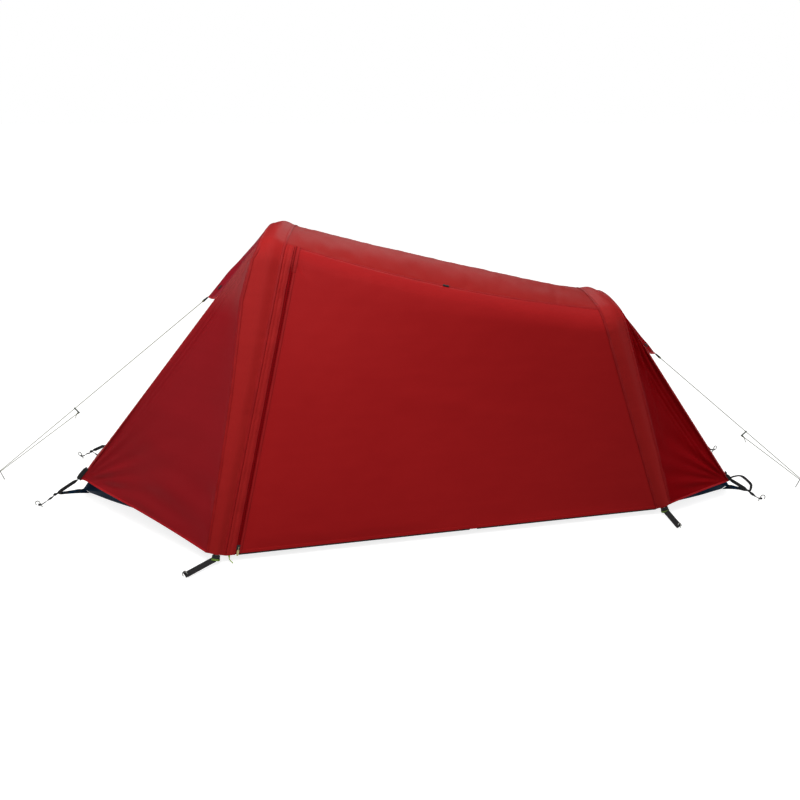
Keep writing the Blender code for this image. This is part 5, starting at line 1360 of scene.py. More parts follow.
def build_storm_flap():
    """The zip's cover: a doubled strip from the sleeve's seam with two creases, from the hem up over the shoulder."""
    shares = np.linspace(0.0, 0.995, 230)
    along = shares[:, None] * 1.1
    place = np.array([offset for offset, _ in FLAP_PROFILE])[None]
    wobble = 0.0009 * ripple(along, place * 2.0, 77, 3, 12) + 0.0004 * ripple(along, place * 3.0, 78, 25, 60)
    narrow = 0.0018 * bell(shares, 0.86, 0.07)[:, None]
    grid = push(beside_grid(FLAP_PROFILE, shares), wobble * step(place, 0.001, 0.006), plane_out)
    grid = grid - (narrow * place / FLAP_WIDTH)[..., None] * plane_side
    flap = dress(grid_piece("storm_flap_cloth", grid, RED_SLEEVE, plane_out), "ripstop_sleeve", "storm_flap")
    stitch = band("storm_flap_hem", beside_sleeve(0.0272, 0.0040, shares) - narrow * plane_side, plane_side, plane_out,
                  FLAP_SEAM, slot="ripstop_sleeve")
    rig.sheet(flap, flat=(0.034, 1.12), held="stretched", rests_on=["front_sleeve_cloth"], with_pieces=[stitch])

    # The facing behind the zip, in the darker end red, so the slit shows painted shade.
    facing = dress(grid_piece("zip_facing_cloth", beside_grid(FACING_PROFILE, even(150)), RED_END_PAINTED_SHADE, plane_out),
                   "ripstop_fly")
    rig.sheet(facing, flat=(0.051, 1.12), held="stretched", rests_on=["front_sleeve_cloth"])

    over = np.linspace(0.905, 1.0, 24)
    bridge = dress(grid_piece("zip_end_cloth", beside_grid(BRIDGE_PROFILE, over), RED, plane_out), "ripstop_fly")
    # The crease at the zip's end, in the darker red that paints shade in it.
    crease = band("zip_end_seam", beside_sleeve(ZIP_OFFSET - 0.0010, 0.0003, over), plane_side, plane_out,
                  ZIP_CREASE, RED_ZIP_END_SHADE)
    margin = band("zip_end_margin", beside_sleeve(ZIP_OFFSET + 0.0082, 0.0016, over), plane_side, plane_out, ZIP_SEAM)
    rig.sheet(bridge, flat=(0.014, 0.12), held="stretched", rests_on=["near_side_cloth"], with_pieces=[crease, margin])


build_roof()
build_far_side()
build_near_side()
build_storm_flap()


# ---------------------------------------------------------------- the ends
SIDES = ((NEAR, "near"), (FAR, "far"))
FAN_START = 0.03


def mirrored(point, side):
    return point * np.array((1, side, 1))


class End:
    """One end of the flysheet."""

    def __init__(self, prefix, hoop, facing, corner, tip):
        self.prefix = prefix
        self.hoop = hoop
        self.facing = facing
        self.is_front = facing < 0
        self.tip = tip
        self.sleeve = [prefix + "_sleeve_cloth"]
        self.shoulder = {side: hoop.sewn_edge(SEAM_Q if side == NEAR else Q_END - SEAM_Q, facing) for side, _ in SIDES}
        self.corner = {side: mirrored(corner, side) for side, _ in SIDES}
        self.hood_end = {side: lerp(self.shoulder[side], self.corner[side], HOOD_SHARE) for side, _ in SIDES}
        self.inward = unit(np.array((-facing * 0.78, 0, -0.62)))

    def pick(self, at_front, at_rear):
        return at_front if self.is_front else at_rear


front_end = End("front", front, -1, FRONT_CORNER, FRONT_HOOD_TIP)
rear_end = End("rear", rear, 1, REAR_CORNER, REAR_HOOD_TIP)


def hem_rise(line, rise):
    return line + UP * (rise * arch(even(len(line))))[:, None]


def fan(points, centre, seed, count, reach):
    """Folds that run out from a point, fading with distance."""
    arm = points - centre
    far = length_of(arm)
    first = unit(points[-1, 0] - points[0, 0])
    second = np.cross(unit(normals_of(points).mean((0, 1))), first)
    angle = np.arctan2(arm @ second, arm @ first)
    dice = np.random.default_rng(seed)
    total = np.zeros(far.shape)
    for _ in range(5):
        total += dice.uniform(0.5, 1) * np.sin(angle * count * dice.uniform(0.6, 1.5) + dice.uniform(0, 2 * pi))
    return total / 2 * step(far, FAN_START * 0.3, FAN_START * 2.5) * np.exp(-far / reach)


def build_end_side(end, side, tag, material):
    name = "fly_" + end.prefix + "_end_" + tag
    rows, columns = END_SIDE_GRID
    q = np.linspace(0, SEAM_Q, 200)
    left = resample(end.hoop.sewn_edge(q if side == NEAR else Q_END - q, end.facing), even(rows))
    edge = lerp(end.corner[side], end.shoulder[side], 0.994 * spans(left) / spans(left)[-1])
    shares = even(columns)
    from_corner = (1 - shares) * length_of(edge[0] - left[0]) / CORNER_CURVE
    bottom = hem_rise(lerp(left[0], edge[0], shares), end.pick(END_HEM_RISE, 0.003))
    bottom = bottom + UP * (end.pick(CORNER_LIFT, 0.0) * from_corner * np.exp(1 - from_corner))[:, None]
    out = unit(np.array((end.facing * 0.45, side * 0.85, 0.25)))
    panel = Panel(coons(left, edge, bottom, lerp(left[-1], edge[-1], shares)), out)
    panel.sag(END_SAG, -out)

    x, _, z = panel.places()
    u, v = panel.u, panel.v
    width = length_of(edge - left)[:, None]
    from_edge, from_pole = (1 - u) * width, u * width
    corner_pulls = 0.0085 * fan(panel.grid, end.corner[side], 11 + side, 22, 0.17) * step(v, 0.0, 0.03)
    shoulder_pulls = 0.0040 * fan(panel.grid, end.shoulder[side], 13 + side, 13, end.pick(0.18, 0.30))
    low = np.exp(-(z - 0.05) / 0.16) * step(from_edge, 0.02, 0.15)
    low_folds = 0.0046 * low * ripple(x * 0.35, z, 17 + side, 6, 13) * step(v, 0.0, 0.06)
    pleats = np.sin(from_edge * 2 * pi / 0.020 + 0.5 * np.sin(v * 9.9)) * bell(from_edge, 0.045, 0.028)
    edge_pleats = 0.0016 * pleats * step(v, 0.05, 0.25) * step(1 - v, 0.02, 0.15)
    slack = 0.0026 * ripple(x, z * 0.6, 29 + side, 1.4, 3.2)
    height = corner_pulls + shoulder_pulls + low_folds + edge_pleats + slack
    if not end.is_front:
        upper_folds = 0.0048 * np.sin(u * 2 * pi * 2.6 + 1.2 * np.sin(v * 3.1)) * bell(v, 0.80, 0.22)
        pole_ridge = 0.0060 * bell(from_pole, 0.040, 0.020) * step(v, 0.15, 0.5) * step(1 - v, 0.02, 0.2)
        height = height * 0.75 + upper_folds + pole_ridge
    panel.wrinkle(height, 0.035, 0.02)
    panel.make(name + "_cloth", material, "ripstop_fly", name)
    hem = panel.trim(name + "_hem", 0, 1, END_HEM_WIDTH)
    panel.declare(end.pick((0.84, 1.06), (0.42, 0.76)), end.sleeve, [hem])


def build_end_face(end, material):
    name = "fly_" + end.prefix + "_end_face"
    rows, columns = END_FACE_GRID
    left, right = (lerp(end.corner[side], end.hood_end[side], even(rows)) for side, _ in SIDES)
    shares = even(columns)
    bottom = hem_rise(lerp(left[0], right[0], shares), END_HEM_RISE)
    panel = Panel(coons(left, right, bottom, lerp(left[-1], right[-1], shares)), -end.inward)
    panel.sag(END_SAG, end.inward)
    _, y, z = panel.places()
    pulls = 0.0022 * sum(fan(panel.grid, end.corner[side], seed, 15, 0.16) for side, seed in ((NEAR, 31), (FAR, 32)))
    slack = 0.0028 * ripple(y, z * 0.5, 33, 1.5, 4.5)
    low_folds = 0.0012 * ripple(y * 0.4, z, 34, 8, 18) * np.exp(-panel.v / 0.2)
    panel.wrinkle(pulls + slack + low_folds, 0.05, 0.04)
    panel.make(name + "_cloth", material, "ripstop_fly", name)
    bands = [panel.trim(name + "_hem", 0, 1, END_HEM_WIDTH), panel.trim(name + "_vent_binding", -1, -2, 0.006)]
    for side, tag in SIDES:
        line = lerp(end.corner[side], end.hood_end[side], np.linspace(0.01, 0.99, 110))
        out = unit(SIDEWAYS * side * 0.7 - end.inward)
        bands.append(band(name + "_seam_" + tag, *sewn_line(line, out), FACE_SEAM))
    panel.declare(end.pick((0.42, 0.95), (0.42, 0.62)), end.sleeve, bands)


def hood_patch(grid, out, half):
    """A small round reinforcement on the hood, beside the middle of its lip."""
    patch = push(grid[3:9, half - 8:half - 1], 0.0012, out)
    middle = patch.mean((0, 1))
    arms = patch - middle
    turn = np.stack(np.meshgrid(np.linspace(-1, 1, 7), np.linspace(-1, 1, 6)), axis=-1)
    roundness = np.abs(turn).max(-1) / np.maximum(length_of(turn), 1e-9)
    return middle + arms * (np.clip(roundness, 0, 1) * 0.017 / length_of(arms).max())[..., None]


def build_hood(end, material):
    name = end.prefix + "_hood"
    rows, columns = HOOD_GRID
    half = columns // 2
    crown = end.hoop.sewn_edge(np.linspace(SEAM_Q, Q_END - SEAM_Q, columns), end.facing)
    crown[0], crown[-1] = end.shoulder[NEAR], end.shoulder[FAR]
    left, right = (lerp(end.hood_end[side], end.shoulder[side], even(rows)) for side, _ in SIDES)
    lip = np.vstack([lerp(left[0], end.tip, even(half + 1)), lerp(end.tip, right[0], even(half + 1))[1:]])
    lip = lip + (end.inward * 0.004 - UP * 0.006) * arch(np.abs(np.linspace(-1, 1, columns)))[:, None]
    hood = Panel(coons(left, right, lip, crown), -end.inward)
    from_tip = length_of(hood.grid - end.tip)
    side, v = np.abs(2 * hood.u - 1), hood.v
    hood.grid = hood.base = hood.grid + end.inward * (0.010 * np.sin(pi * side) * arch(v))[..., None]
    _, y, z = hood.places()
    pull = 0.0022 * np.sin(side * 15 + 1.5 * np.sin(v * 4)) * np.exp(-from_tip / 0.25) * step(from_tip, 0.01, 0.06)
    hood.wrinkle(pull + 0.0014 * ripple(y, z, 51, 6, 14), 0.05, 0.06)
    hood.make(name + "_cloth", material, "ripstop_fly", name)
    # The hood's underside face, in the brighter red that paints light shining through the cloth.
    underside = Panel(push(hood.grid, 0.0009, end.inward)[:, 1:-1], end.inward)
    underside.make(name + "_underside", RED_UNDERSIDE_GLOW, "ripstop_fly")
    patch = dress(grid_piece(name + "_patch", hood_patch(hood.grid, hood.out, half), WEB_BLACK, hood.out), "webbing")
    flat = end.pick((0.62, 0.36), (0.56, 0.34))
    hood.declare(flat, end.sleeve, [hood.trim(name + "_lip", 0, 2, 0.007), patch])
    underside.declare(flat, [name + "_cloth"])


def build_vent_mesh(end):
    name = end.prefix + "_vent_mesh"
    rows, columns = VENT_GRID
    start = SEAM_Q + 0.25
    q = np.linspace(start, Q_END - start, columns)
    crown = end.hoop.sewn_edge(q, end.facing, 0.0013) + end.inward * 0.0016 / np.linalg.norm((0.78, 0.62))
    raised = unit(end.shoulder[NEAR] - end.hood_end[NEAR]) * 0.0014 + end.inward * 0.003
    near_end, far_end = (lerp(end.hood_end[side], end.hood_end[-side], 0.03) + raised for side, _ in SIDES)
    v = even(rows)
    dip = end.inward * (VENT_SAG * 0.6 * arch(v))[:, None]
    left, right = lerp(near_end, crown[0], v) + dip, lerp(far_end, crown[-1], v) + dip
    net = Panel(coons(left, right, lerp(near_end, far_end, even(columns)), crown), -end.inward)
    net.sag(VENT_SAG, end.inward)
    net.make(name + "_cloth", NET_BLACK, "netting", name)
    net.declare((0.50, 0.34), end.sleeve)


for end, side_red, face_red, hood_red in ((front_end, RED_END_SIDE_SHADE_AND_SHEEN, RED_END_PAINTED_SHADE, RED_HOOD),
                                          (rear_end, RED_REAR_PAINTED_SHADE, RED_REAR_PAINTED_SHADE, RED_REAR_PAINTED_SHADE)):
    for side, tag in SIDES:
        build_end_side(end, side, tag, side_red)
    build_end_face(end, face_red)
    build_hood(end, hood_red)
    build_vent_mesh(end)


# ---------------------------------------------------------------- inner tent
def tub_outline():
    """Half the floor's outline from front to rear: x, half width, height of the wall, and the corner's pull."""
    front_corner, front_hoop = np.array(((TUB_FRONT_X, TUB_FRONT_END_HALF), (TUB_FRONT_HOOP_X, TUB_FRONT_HALF)))
    rear_corner, rear_hoop = np.array(((TUB_REAR_X, TUB_REAR_END_HALF), (TUB_REAR_HOOP_X, TUB_REAR_HALF)))
    return [(*front_corner, TUB_CORNER_WALL, -TUB_CORNER_PULL),
            (*lerp(front_corner, front_hoop, 0.35), TUB_WALL * 0.85, 0.0),
            (*front_hoop, TUB_WALL, 0.0),
            (*rear_hoop, TUB_WALL, 0.0),
            (*lerp(rear_corner, rear_hoop, 0.35), TUB_WALL * 0.85, 0.0),
            (*rear_corner, TUB_CORNER_WALL, TUB_CORNER_PULL)]


def tub_head(row, side):
    """The wall's upper edge at one row of the outline."""
    x, half, height, pull = row
    return np.array((x + pull, side * (half + abs(pull) * 0.6), height))


def closed_ring(points):
    """26 places along each side of a closed outline."""
    return np.vstack([lerp(start, end, np.linspace(0, 1, 26, endpoint=False))
                      for start, end in zip(points, points[1:] + points[:1])])


def build_tub():
    """The groundsheet: a flat floor and a low wall in one piece, pulled out to its corner straps."""
    half = tub_outline()
    rows = [(row, NEAR) for row in half] + [(row, FAR) for row in reversed(half)]
    foot = [np.array((row[0], side * row[1], FLOOR_Z)) for row, side in rows]
    low_ring = closed_ring(foot)
    high_ring = closed_ring([tub_head(row, side) for row, side in rows])
    around = spans(np.vstack([low_ring, low_ring[:1]]))[:-1]
    middle = np.array((0.05, 0.0, FLOOR_Z))
    rings = []
    for share in (0.02, 0.2, 0.4, 0.6, 0.75, 0.88, 0.95, 0.985, 1.0):
        ring = lerp(middle, low_ring, share)
        lift = 0.0011 * (1 + ripple(ring[:, 0], ring[:, 1], 88, 2, 9)) * (share < 0.97)
        rings.append(ring + UP * np.maximum(lift, 0)[:, None])
    outward = unit((low_ring - middle) * np.array((0.3, 1, 0)))
    for share in (0.12, 0.3, 0.5, 0.7, 0.88, 1.0):
        bulge = 0.0022 * sin(pi * share) * ripple(around, share * 0.05, 89, 4, 14)
        rings.append(lerp(low_ring, high_ring, share) + outward * (bulge - 0.0006)[:, None])
    grid = np.stack(rings, axis=0)
    grid = np.concatenate([grid, grid[:, :1]], axis=1)
    for corner in (foot[0], foot[len(half) - 1], foot[len(half)], foot[-1]):
        far = length_of(grid[..., :2] - corner[:2])
        low = np.clip(1 - grid[..., 2] / TUB_CORNER_WALL, 0, 1)
        grid = grid + UP * (CORNER_RAISE * low * bell(far, 0, 0.080))[..., None]
    tub = Panel(grid, UP)
    tub.make("groundsheet_cloth", FLOOR_BLUE, "coated_floor", "groundsheet_tub")
    edge = tub.trim("groundsheet_edge", -1, -2, 0.008, WEB_BLACK, -SIDEWAYS)
    tub.declare((1.20, 2.72), ["corner_buckle_front_near"], [edge])


def inner_base(share, side):
    start = np.array((TUB_FRONT_HOOP_X, side * TUB_FRONT_HALF, TUB_WALL + 0.0004))
    end = np.array((TUB_REAR_HOOP_X, side * TUB_REAR_HALF, TUB_WALL + 0.0004))
    return lerp(start, end, share)


def inner_crown(share, side):
    start = np.array((INNER_FRONT_X, side * INNER_FRONT_CROWN, INNER_FRONT_HEIGHT))
    end = np.array((INNER_REAR_X, side * INNER_REAR_CROWN, INNER_REAR_HEIGHT))
    return lerp(start, end, share)


def near_wall(us, vs):
    u, v = spread(us, vs)
    return lerp(inner_base(u, NEAR), inner_crown(u, NEAR) - UP * 0.0007, v)


def split_evenly(start, end, counts):
    """Shares from 0 to 1 that meet start and end, with a count of them before, between and after."""
    before, between, after = counts
    return np.concatenate([np.linspace(0, start, before)[:-1], np.linspace(start, end, between)[:-1],
                           np.linspace(end, 1, after)])


def inside(shares, start, end):
    middle = (shares[1:] + shares[:-1]) / 2
    return (middle > start) & (middle < end)


def build_inner_near():
    """The wall with its door opening, and the netting door in it."""
    us = split_evenly(INNER_DOOR_START, INNER_DOOR_END, (9, 44, 30))
    vs = split_evenly(INNER_DOOR_SILL, INNER_DOOR_TOP, (6, 40, 10))
    wall = Panel(near_wall(us, vs), (0, -1, 0.4), spread(us, vs))
    u, v = wall.u, wall.v
    away = np.maximum(np.maximum(INNER_DOOR_START - u, u - INNER_DOOR_END) / 0.10,
                      np.maximum(INNER_DOOR_SILL - v, v - INNER_DOOR_TOP) / 0.08)
    x, _, z = wall.places()
    wall.wrinkle(0.0045 * ripple(x, z * 0.4, 91, 2, 7) * step(away, 0, 1), 0.03, 0.03)
    drop = inside(us, INNER_DOOR_START, INNER_DOOR_END)[None] & inside(vs, INNER_DOOR_SILL, INNER_DOOR_TOP)[:, None]
    item = wall.make("inner_near_cloth", INNER, "inner_cloth", "inner_near_wall", drop=drop)
    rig.sheet(item, flat=(0.92, 1.58), area=sum(face.area for face in item.data.polygons), held="hung",
             rests_on=[*BOTH_SLEEVES])

    gap = 0.0014
    rows, columns = INNER_DOOR_GRID
    grid = near_wall(np.linspace(INNER_DOOR_START + gap, INNER_DOOR_END - gap, columns),
                     np.linspace(INNER_DOOR_SILL + gap, INNER_DOOR_TOP - gap, rows))
    door = Panel(grid, (0, -1, 0.4), spread(even(columns), even(rows)))
    x, _, z = door.places()
    door.wrinkle(0.0040 * ripple(x, z * 0.5, 93, 2, 6), 0.06, 0.06)
    item = door.make("inner_door_net", NET_BLACK, "netting", "inner_door", INNER_DOOR)
    grid = door.grid
    outline = np.vstack([grid[0], grid[1:, -1], grid[-1][::-1][1:], grid[::-1, 0][1:]])
    tape = hem_trim("inner_door_zip_edge", outline, grid.mean((0, 1)) - outline, unit(np.array((0, -1, 0.45))), 0.010,
                    TAPE_BLACK, INNER_DOOR)
    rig.sheet(item, flat=(0.75, 0.83), area=grid_area(grid), held="hung", rests_on=["inner_near_cloth"],
             with_pieces=[tape])


def build_inner_canopy():
    us = even(80)
    lines = [lerp(inner_base(us, FAR), inner_crown(us, FAR), share) for share in even(40)]
    lines += [lerp(inner_crown(us, FAR), inner_crown(us, NEAR), share) + UP * INNER_DOME * arch(share)
              for share in even(26)[1:]]
    canopy = Panel(np.stack(lines, axis=0), (0, 0.7, 0.7), spread(us, even(len(lines))))
    x, y, z = canopy.places()
    canopy.wrinkle(0.0045 * ripple(x, y * 0.4 + z * 0.4, 95, 2, 7), 0.04, 0.04)
    canopy.make("inner_far_cloth", INNER, "inner_cloth", "inner_far_wall")
    canopy.declare((1.32, 1.58), BOTH_SLEEVES, held="hung")


def build_inner_end(end, share):
    name = "inner_" + end.prefix + "_end"
    out = (end.facing, 0, 0.5)
    shift = np.array((end.facing * 0.0008, 0, 0))
    bottom = [tub_head(row, NEAR) + UP * (SEW_GAP + 0.0005) for row in
              end.pick(tub_outline()[2::-1], tub_outline()[3:])]
    bottom[0] = bottom[0] + shift
    bottom += [mirrored(point, -1) for point in reversed(bottom)]
    near, far = inner_crown(share, NEAR) + shift, inner_crown(share, FAR) + shift
    top = [lerp(near, far, s) + UP * INNER_DOME * arch(s) for s in (0.0, 0.06, 0.12, 0.88, 0.94, 1.0)]
    rows, columns = INNER_END_GRID
    places = np.linspace(0, 5, columns)
    low, high = blended(places, range(6), bottom), blended(places, range(6), top)
    grid = np.stack([lerp(low, high, s) for s in even(rows)], axis=0)
    panel = Panel(grid, out, spread(even(columns), even(rows)))
    _, y, z = panel.places()
    panel.wrinkle(0.0040 * ripple(y, z, 97, 2, 7), 0.06, 0.06)
    panel.make(name + "_cloth", INNER, "inner_cloth", name)
    apron = np.stack([resample(line, APRON_HEIGHT * even(6) / spans(line)[-1])
                      for line in panel.grid.transpose(1, 0, 2)], axis=1)
    apron = push(np.concatenate([apron[:1] - UP * APRON_LAP, apron]), 0.0009, out)
    apron = dress(grid_piece(name + "_apron", apron, FLOOR_BLUE, out), "coated_floor")
    panel.declare(end.pick((1.50, 1.20), (0.86, 0.76)), end.sleeve, [apron], "hung")


build_tub()
build_inner_near()
build_inner_canopy()
build_inner_end(front_end, 0.0)
build_inner_end(rear_end, 1.0)


# ---------------------------------------------------------------- pegs, straps and guylines
def peg_axis(away):
    return unit(UP * cos(PEG_TILT) + flat_unit(away) * sin(PEG_TILT))


def build_guyline(end, ground, cord):
    """One cord from the hood's tip through the runner, round the peg and back to the runner, where it is knotted."""
    name = end.prefix + "_guyline"
    runner = end.prefix + "_guy_runner_body"
    axis = peg_axis(ground - end.tip)
    anchor = ground + axis * (GUY_PEG_NECK - 0.012)
    around = without(unit(anchor - end.tip), axis)
    ring = PEG_RADIUS + 0.0003 + CORD_RADIUS
    beside = unit(np.cross(axis, around))

    def on_loop(angle):
        return anchor + beside * ring * cos(angle) + around * ring * sin(angle) + axis * 0.0016 * cos(angle)

    loop_start, loop_end = on_loop(0), on_loop(pi)
    direction = unit(loop_start - end.tip)
    wide = unit(np.cross(direction, UP))
    tall = unit(np.cross(wide, direction))
    centre = lerp(end.tip, loop_start, RUNNER_SHARE) - tall * RUNNER_HOLE_SPACING
    tip = end.tip + direction * 0.0240
    knot = centre - tall * RUNNER_HOLE_SPACING + direction * 0.0030
    line = np.vstack([lerp(tip, loop_start, even(26)), [on_loop(pi * k / 8) for k in range(1, 8)], loop_end])
    back = lerp(loop_end, knot, even(16))
    item = cord_piece(name + "_cord", line, CORD_RADIUS, cord)
    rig.replaces(item, name)
    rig.slot(item, "guyline_cord")

    turns = coil(end.tip + direction * 0.0205, direction * 0.0075, 3.2, 46, wide, tall, 0.0024, 0.0004)
    hitch = cord_piece(name + "_hitch", turns, CORD_RADIUS, CORD_PALE)
    turns = coil(knot + direction * 0.0012, direction * 0.0050, 2.6, 40, wide, tall, 0.0021)
    stopper = cord_piece(name + "_knot", turns, CORD_RADIUS, cord, runner)
    path = [knot + direction * 0.006, knot + direction * 0.014 - UP * 0.004,
            knot + direction * 0.020 - UP * 0.013 + wide * 0.004]
    tail = cord_piece(name + "_tail", smooth_line(path, 16), CORD_RADIUS, cord, runner)
    course = unit(knot - loop_end)
    level = unit(np.cross(course, UP))
    turn = np.linspace(0, 2 * pi, 12, endpoint=False)[:, None]
    ring = CORD_RADIUS * (level * np.cos(turn) + np.cross(level, course) * np.sin(turn))
    strand = tube_piece(name + "_return", back[:, None] + ring, cord)
    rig.slot(strand, "guyline_cord")
    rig.blend(strand, TENT, runner, start=tuple(loop_end), end=tuple(knot))
    tab = [end.tip + direction * reach for reach in (-0.022, -0.004, 0.010, 0.0235)]
    strap_piece(end.prefix + "_hood_tab", tab, [(0.0, wide), (0.42, wide), (0.62, tall), (1.0, tall)],
                HOOD_TAB_WIDTH, thickness=0.0018, count=30, pinch=0.25)
    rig.cord(item, exit=tuple(tip), length=line_length(line), diameter=2 * CORD_RADIUS, far_end="object",
            with_pieces=[hitch], **LIMP)
    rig.cord(strand, exit=tuple(loop_end), length=line_length(back), diameter=2 * CORD_RADIUS, far_end="knot",
            path=[tuple(place) for place in back], with_pieces=[stopper, tail], **LIMP)


def build_gusset(label, side, foot, corner, far):
    """The groundsheet's corner, drawn out to a narrow tongue along its strap."""
    along = even(12)
    upper = lerp(corner, far + UP * 0.0035, along)
    lower = lerp(foot, far - UP * 0.0045, along) + UP * (0.002 * np.sin(pi * along))[:, None]
    tongue = Panel(np.stack([lerp(a, b, even(7)) for a, b in zip(lower, upper)], axis=1), SIDEWAYS * side)
    tongue.wrinkle(0.0014 * np.sin(tongue.u * 9 + tongue.v * 5), 0.2, 0.2)
    tongue.base = tongue.grid
    tongue.make("floor_gusset_" + label, FLOOR_BLUE, "coated_floor")
    tongue.declare((line_length(lower) + 0.002, float(length_of(upper[0] - lower[0])) + 0.001), ["groundsheet_cloth"])


def build_corner_strap(label, end, side, peg, tub_corner, tub_foot):
    """Webbing through the buckle and down to the peg, with the floor's own strap, and a free tail at the rear near
    corner.
    """
    corner = end.corner[side]
    direction = unit(corner - end.shoulder[side])
    wide = without(SIDEWAYS * -side, direction)
    top = unit_toward(np.cross(direction, wide), ONWARD * end.facing)
    start = corner - direction * (BUCKLE_LENGTH + BUCKLE_RISE) + wide * BUCKLE_WIDTH / 2 + top * BUCKLE_LIFT
    away = flat_unit(peg - start)
    eye = peg + peg_axis(away) * EYE_HEIGHT
    slot = (BUCKLE_LENGTH - 3 * BUCKLE_BAR) / 2
    clear = BUCKLE_THICKNESS / 2 + 0.0003 + WEBBING_THICKNESS / 2 + 0.0003
    first = BUCKLE_BAR + slot / 2
    second = first + slot + BUCKLE_BAR
    places = ((first - 0.0008, -clear - 0.0008), (first - 0.0008, -clear * 0.2), (first, clear), (second, clear),
              (BUCKLE_LENGTH + 0.004, clear), (BUCKLE_LENGTH + BUCKLE_RISE + 0.004, clear))
    path = [start + direction * along + top * high for along, high in places]
    turn = path[-1]
    path += [lerp(turn, eye, 0.45), eye - away * 0.008, eye + away * 0.009]
    turned = unit(np.cross(eye - turn, SIDEWAYS * -side))
    sides = [(0.0, wide), (0.17, wide), (0.30, turned), (0.52, turned), (0.66, wide), (0.76, unit(wide + turned)),
             (0.86, wide), (1.0, wide)]
    strap_piece("corner_webbing_" + label, path, sides, CORNER_WEB_WIDTH, count=90, node="corner_strap_" + label)
    join = lerp(turn, eye, 0.62)
    strap_piece("corner_floor_webbing_" + label, [join + UP * 0.0016, lerp(join, tub_corner, 0.5), tub_corner],
                [(0.0, wide), (0.3, turned), (0.8, turned), (1.0, wide)], FLOOR_WEB_WIDTH, count=30)
    drawn = lerp(tub_corner, join, end.pick(0.74, 0.60)) - wide * 0.0016
    build_gusset(label, side, tub_foot, tub_corner + UP * 0.004, drawn)
    if side == NEAR:
        reach, size = end.pick((1.0, 0.017), (0.45, 0.012))
        tab = [corner + direction * along * reach + top * (out + size / 2) - wide * 0.0022
               for along, out in ((-0.064, -0.0040), (-0.050, 0.0005), (-0.020, 0.0020), (-0.002, 0.0))]
        strap_piece("corner_tab_" + label, tab, top, size, thickness=0.0020, count=24)
    if side == NEAR and not end.is_front:
        rises = ((join, 0.0035, 0.0), (join, 0.022, 0.002), (join, 0.038, -0.004), (turn, 0.026, 0.034),
                 (turn, 0.020, 0.008), (turn, 0.010, -0.006))
        arc = [place + UP * rise + away * out - wide * 0.010 for place, rise, out in rises]
        strap_piece("corner_free_webbing_" + label, arc, [(0.0, turned), (0.50, turned), (0.72, wide), (1.0, wide)],
                    FLOOR_WEB_WIDTH, count=48, pinch=0.1)
    rounded_block("corner_bartack_" + label, join + UP * 0.0004, (away, wide, np.cross(away, wide)),
                  (0.009, 0.0128, 0.0046), 0.0012)


# Rings up a foot pocket and up the tape round it: height over the pole's end, and size
POCKET_RINGS = ((-0.0004, 0.80), (0.0, 0.95), (0.003, 1.0), (0.010, 1.02), (0.0165, 1.0), (0.018, 0.93),
                (0.018, 0.62), (0.014, 0.52), (0.0052, 0.50))
TAPE_RINGS = ((0.0004, 1.00), (0.0006, 1.10), (0.0066, 1.10), (0.0068, 1.02))


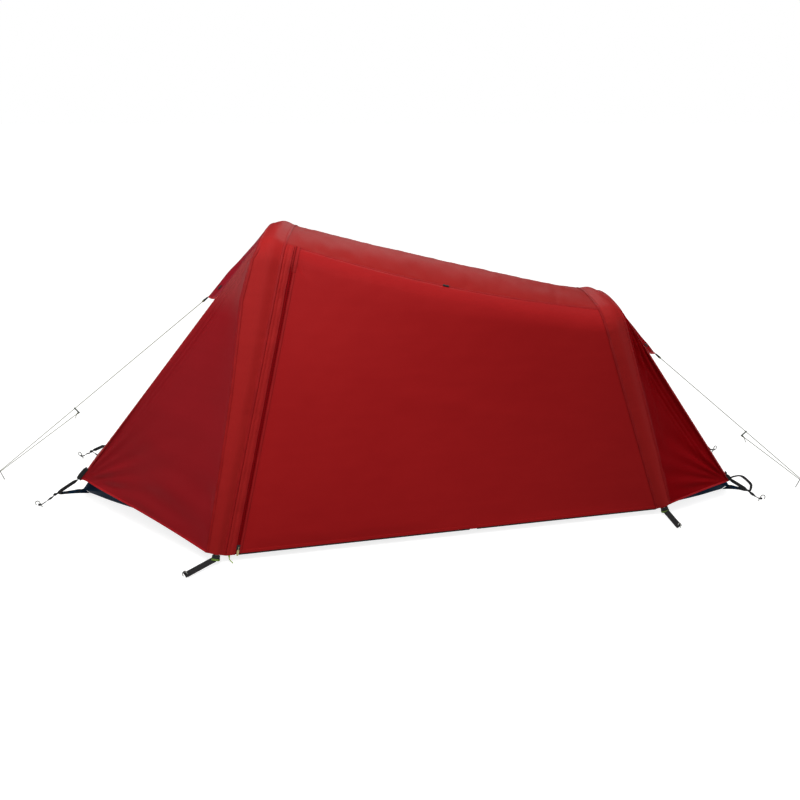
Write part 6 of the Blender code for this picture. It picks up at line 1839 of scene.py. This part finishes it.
def build_foot_strap(label, hoop, side, peg):
    """Webbing from the pole's foot pocket to a peg. The pocket holds the pole's end, with a coloured tape round it."""
    leg = unit(hoop.leg_point(1.0, side) - hoop.leg_point(0.0, side))
    _, outward = hoop.axes(0 if side == NEAR else Q_END)
    centre = hoop.leg_point(POLE_START, side) + outward * POLE_LIFT
    away = flat_unit(peg - centre)
    end = peg + peg_axis(away) * EYE_HEIGHT
    bottom = centre - leg * 0.0043
    cross = np.cross(leg, outward)
    wide = np.cross(away, UP)
    start = bottom + leg * 0.005
    path = [start + away * 0.004, start + away * 0.014, lerp(start + away * 0.012, end, 0.5), end - away * 0.006,
            end + away * 0.010]
    slanted = unit(UP * 0.6 + wide * np.sign(wide[0] * centre[0]))
    strap_piece("foot_webbing_" + label, path, slanted, FOOT_WEB_WIDTH, thickness=0.0016, count=60,
                node="foot_strap_" + label)
    angle = np.linspace(0, 2 * pi, 28, endpoint=False)[:, None]
    square = (np.abs(np.cos(angle)) ** CUP_ROUNDNESS + np.abs(np.sin(angle)) ** CUP_ROUNDNESS) ** (-1 / CUP_ROUNDNESS)
    ring = (cross * np.cos(angle) * 1.4 + outward * np.sin(angle)) * CUP_HALF * square
    for name, rings, material, caps in (("foot_pocket_", POCKET_RINGS, WEB_BLACK, True),
                                        ("foot_pocket_tape_", TAPE_RINGS, WEB_GREEN, False)):
        rings = [bottom + leg * reach + ring * size for reach, size in rings]
        dress(tube_piece(name + label, rings, material, caps), "webbing")


def build_foot_cord():
    """The short bright cord that hangs from the hem beside the front foot."""
    top = beside_sleeve(0.012, -0.0030, np.array([0.012]))[0]
    steps = ((0.0, 0.0, 0.0), (0.0, 0.004, 0.014), (0.004, 0.009, 0.026), (0.018, 0.014, 0.036))
    points = np.array([top + plane_side * side + plane_out * out - plane_along * down for side, out, down in steps])
    points[:, 2] = np.maximum(points[:, 2], 0.0022)
    line = smooth_line(points, 26)
    item = cord_piece("front_foot_cord", line, FOOT_CORD_RADIUS, CORD_LIME)
    turns = coil(line[8], (line[9] - line[8]) * 3.0, 2.2, 30, plane_side, plane_out, 0.0021)
    knot = cord_piece("front_foot_cord_knot", turns, 0.0014, CORD_LIME)
    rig.cord(item, exit=tuple(line[0]), length=line_length(line), diameter=2 * FOOT_CORD_RADIUS, far_end="bare",
            stiffness="limp", lay="hanging", with_pieces=[knot])


build_guyline(front_end, FRONT_GUY_PEG, CORD_PALE)
build_guyline(rear_end, REAR_GUY_PEG, CORD_OLIVE)
for end, corner_peg, foot_peg, tub_x, tub_half in (
        (front_end, FRONT_CORNER_PEG, FRONT_FOOT_PEG, TUB_FRONT_X, TUB_FRONT_END_HALF),
        (rear_end, REAR_CORNER_PEG, REAR_FOOT_PEG, TUB_REAR_X, TUB_REAR_END_HALF)):
    for side, tag in SIDES:
        label = end.prefix + "_" + tag
        tub_corner = np.array((tub_x + end.facing * (TUB_CORNER_PULL + 0.0004),
                               side * (tub_half + TUB_CORNER_PULL * 0.6), TUB_CORNER_WALL - 0.002))
        tub_foot = np.array((tub_x + end.facing * 0.0012, side * (tub_half + 0.0008), CORNER_RAISE))
        build_corner_strap(label, end, side, mirrored(corner_peg, side), tub_corner, tub_foot)
        build_foot_strap(label, end.hoop, side, mirrored(foot_peg, side))
build_foot_cord()

visual_box = [list(corner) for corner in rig.bounds()]
with open("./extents.json", "w") as f:
    json.dump({"cad": cad_box, "visual": visual_box}, f)
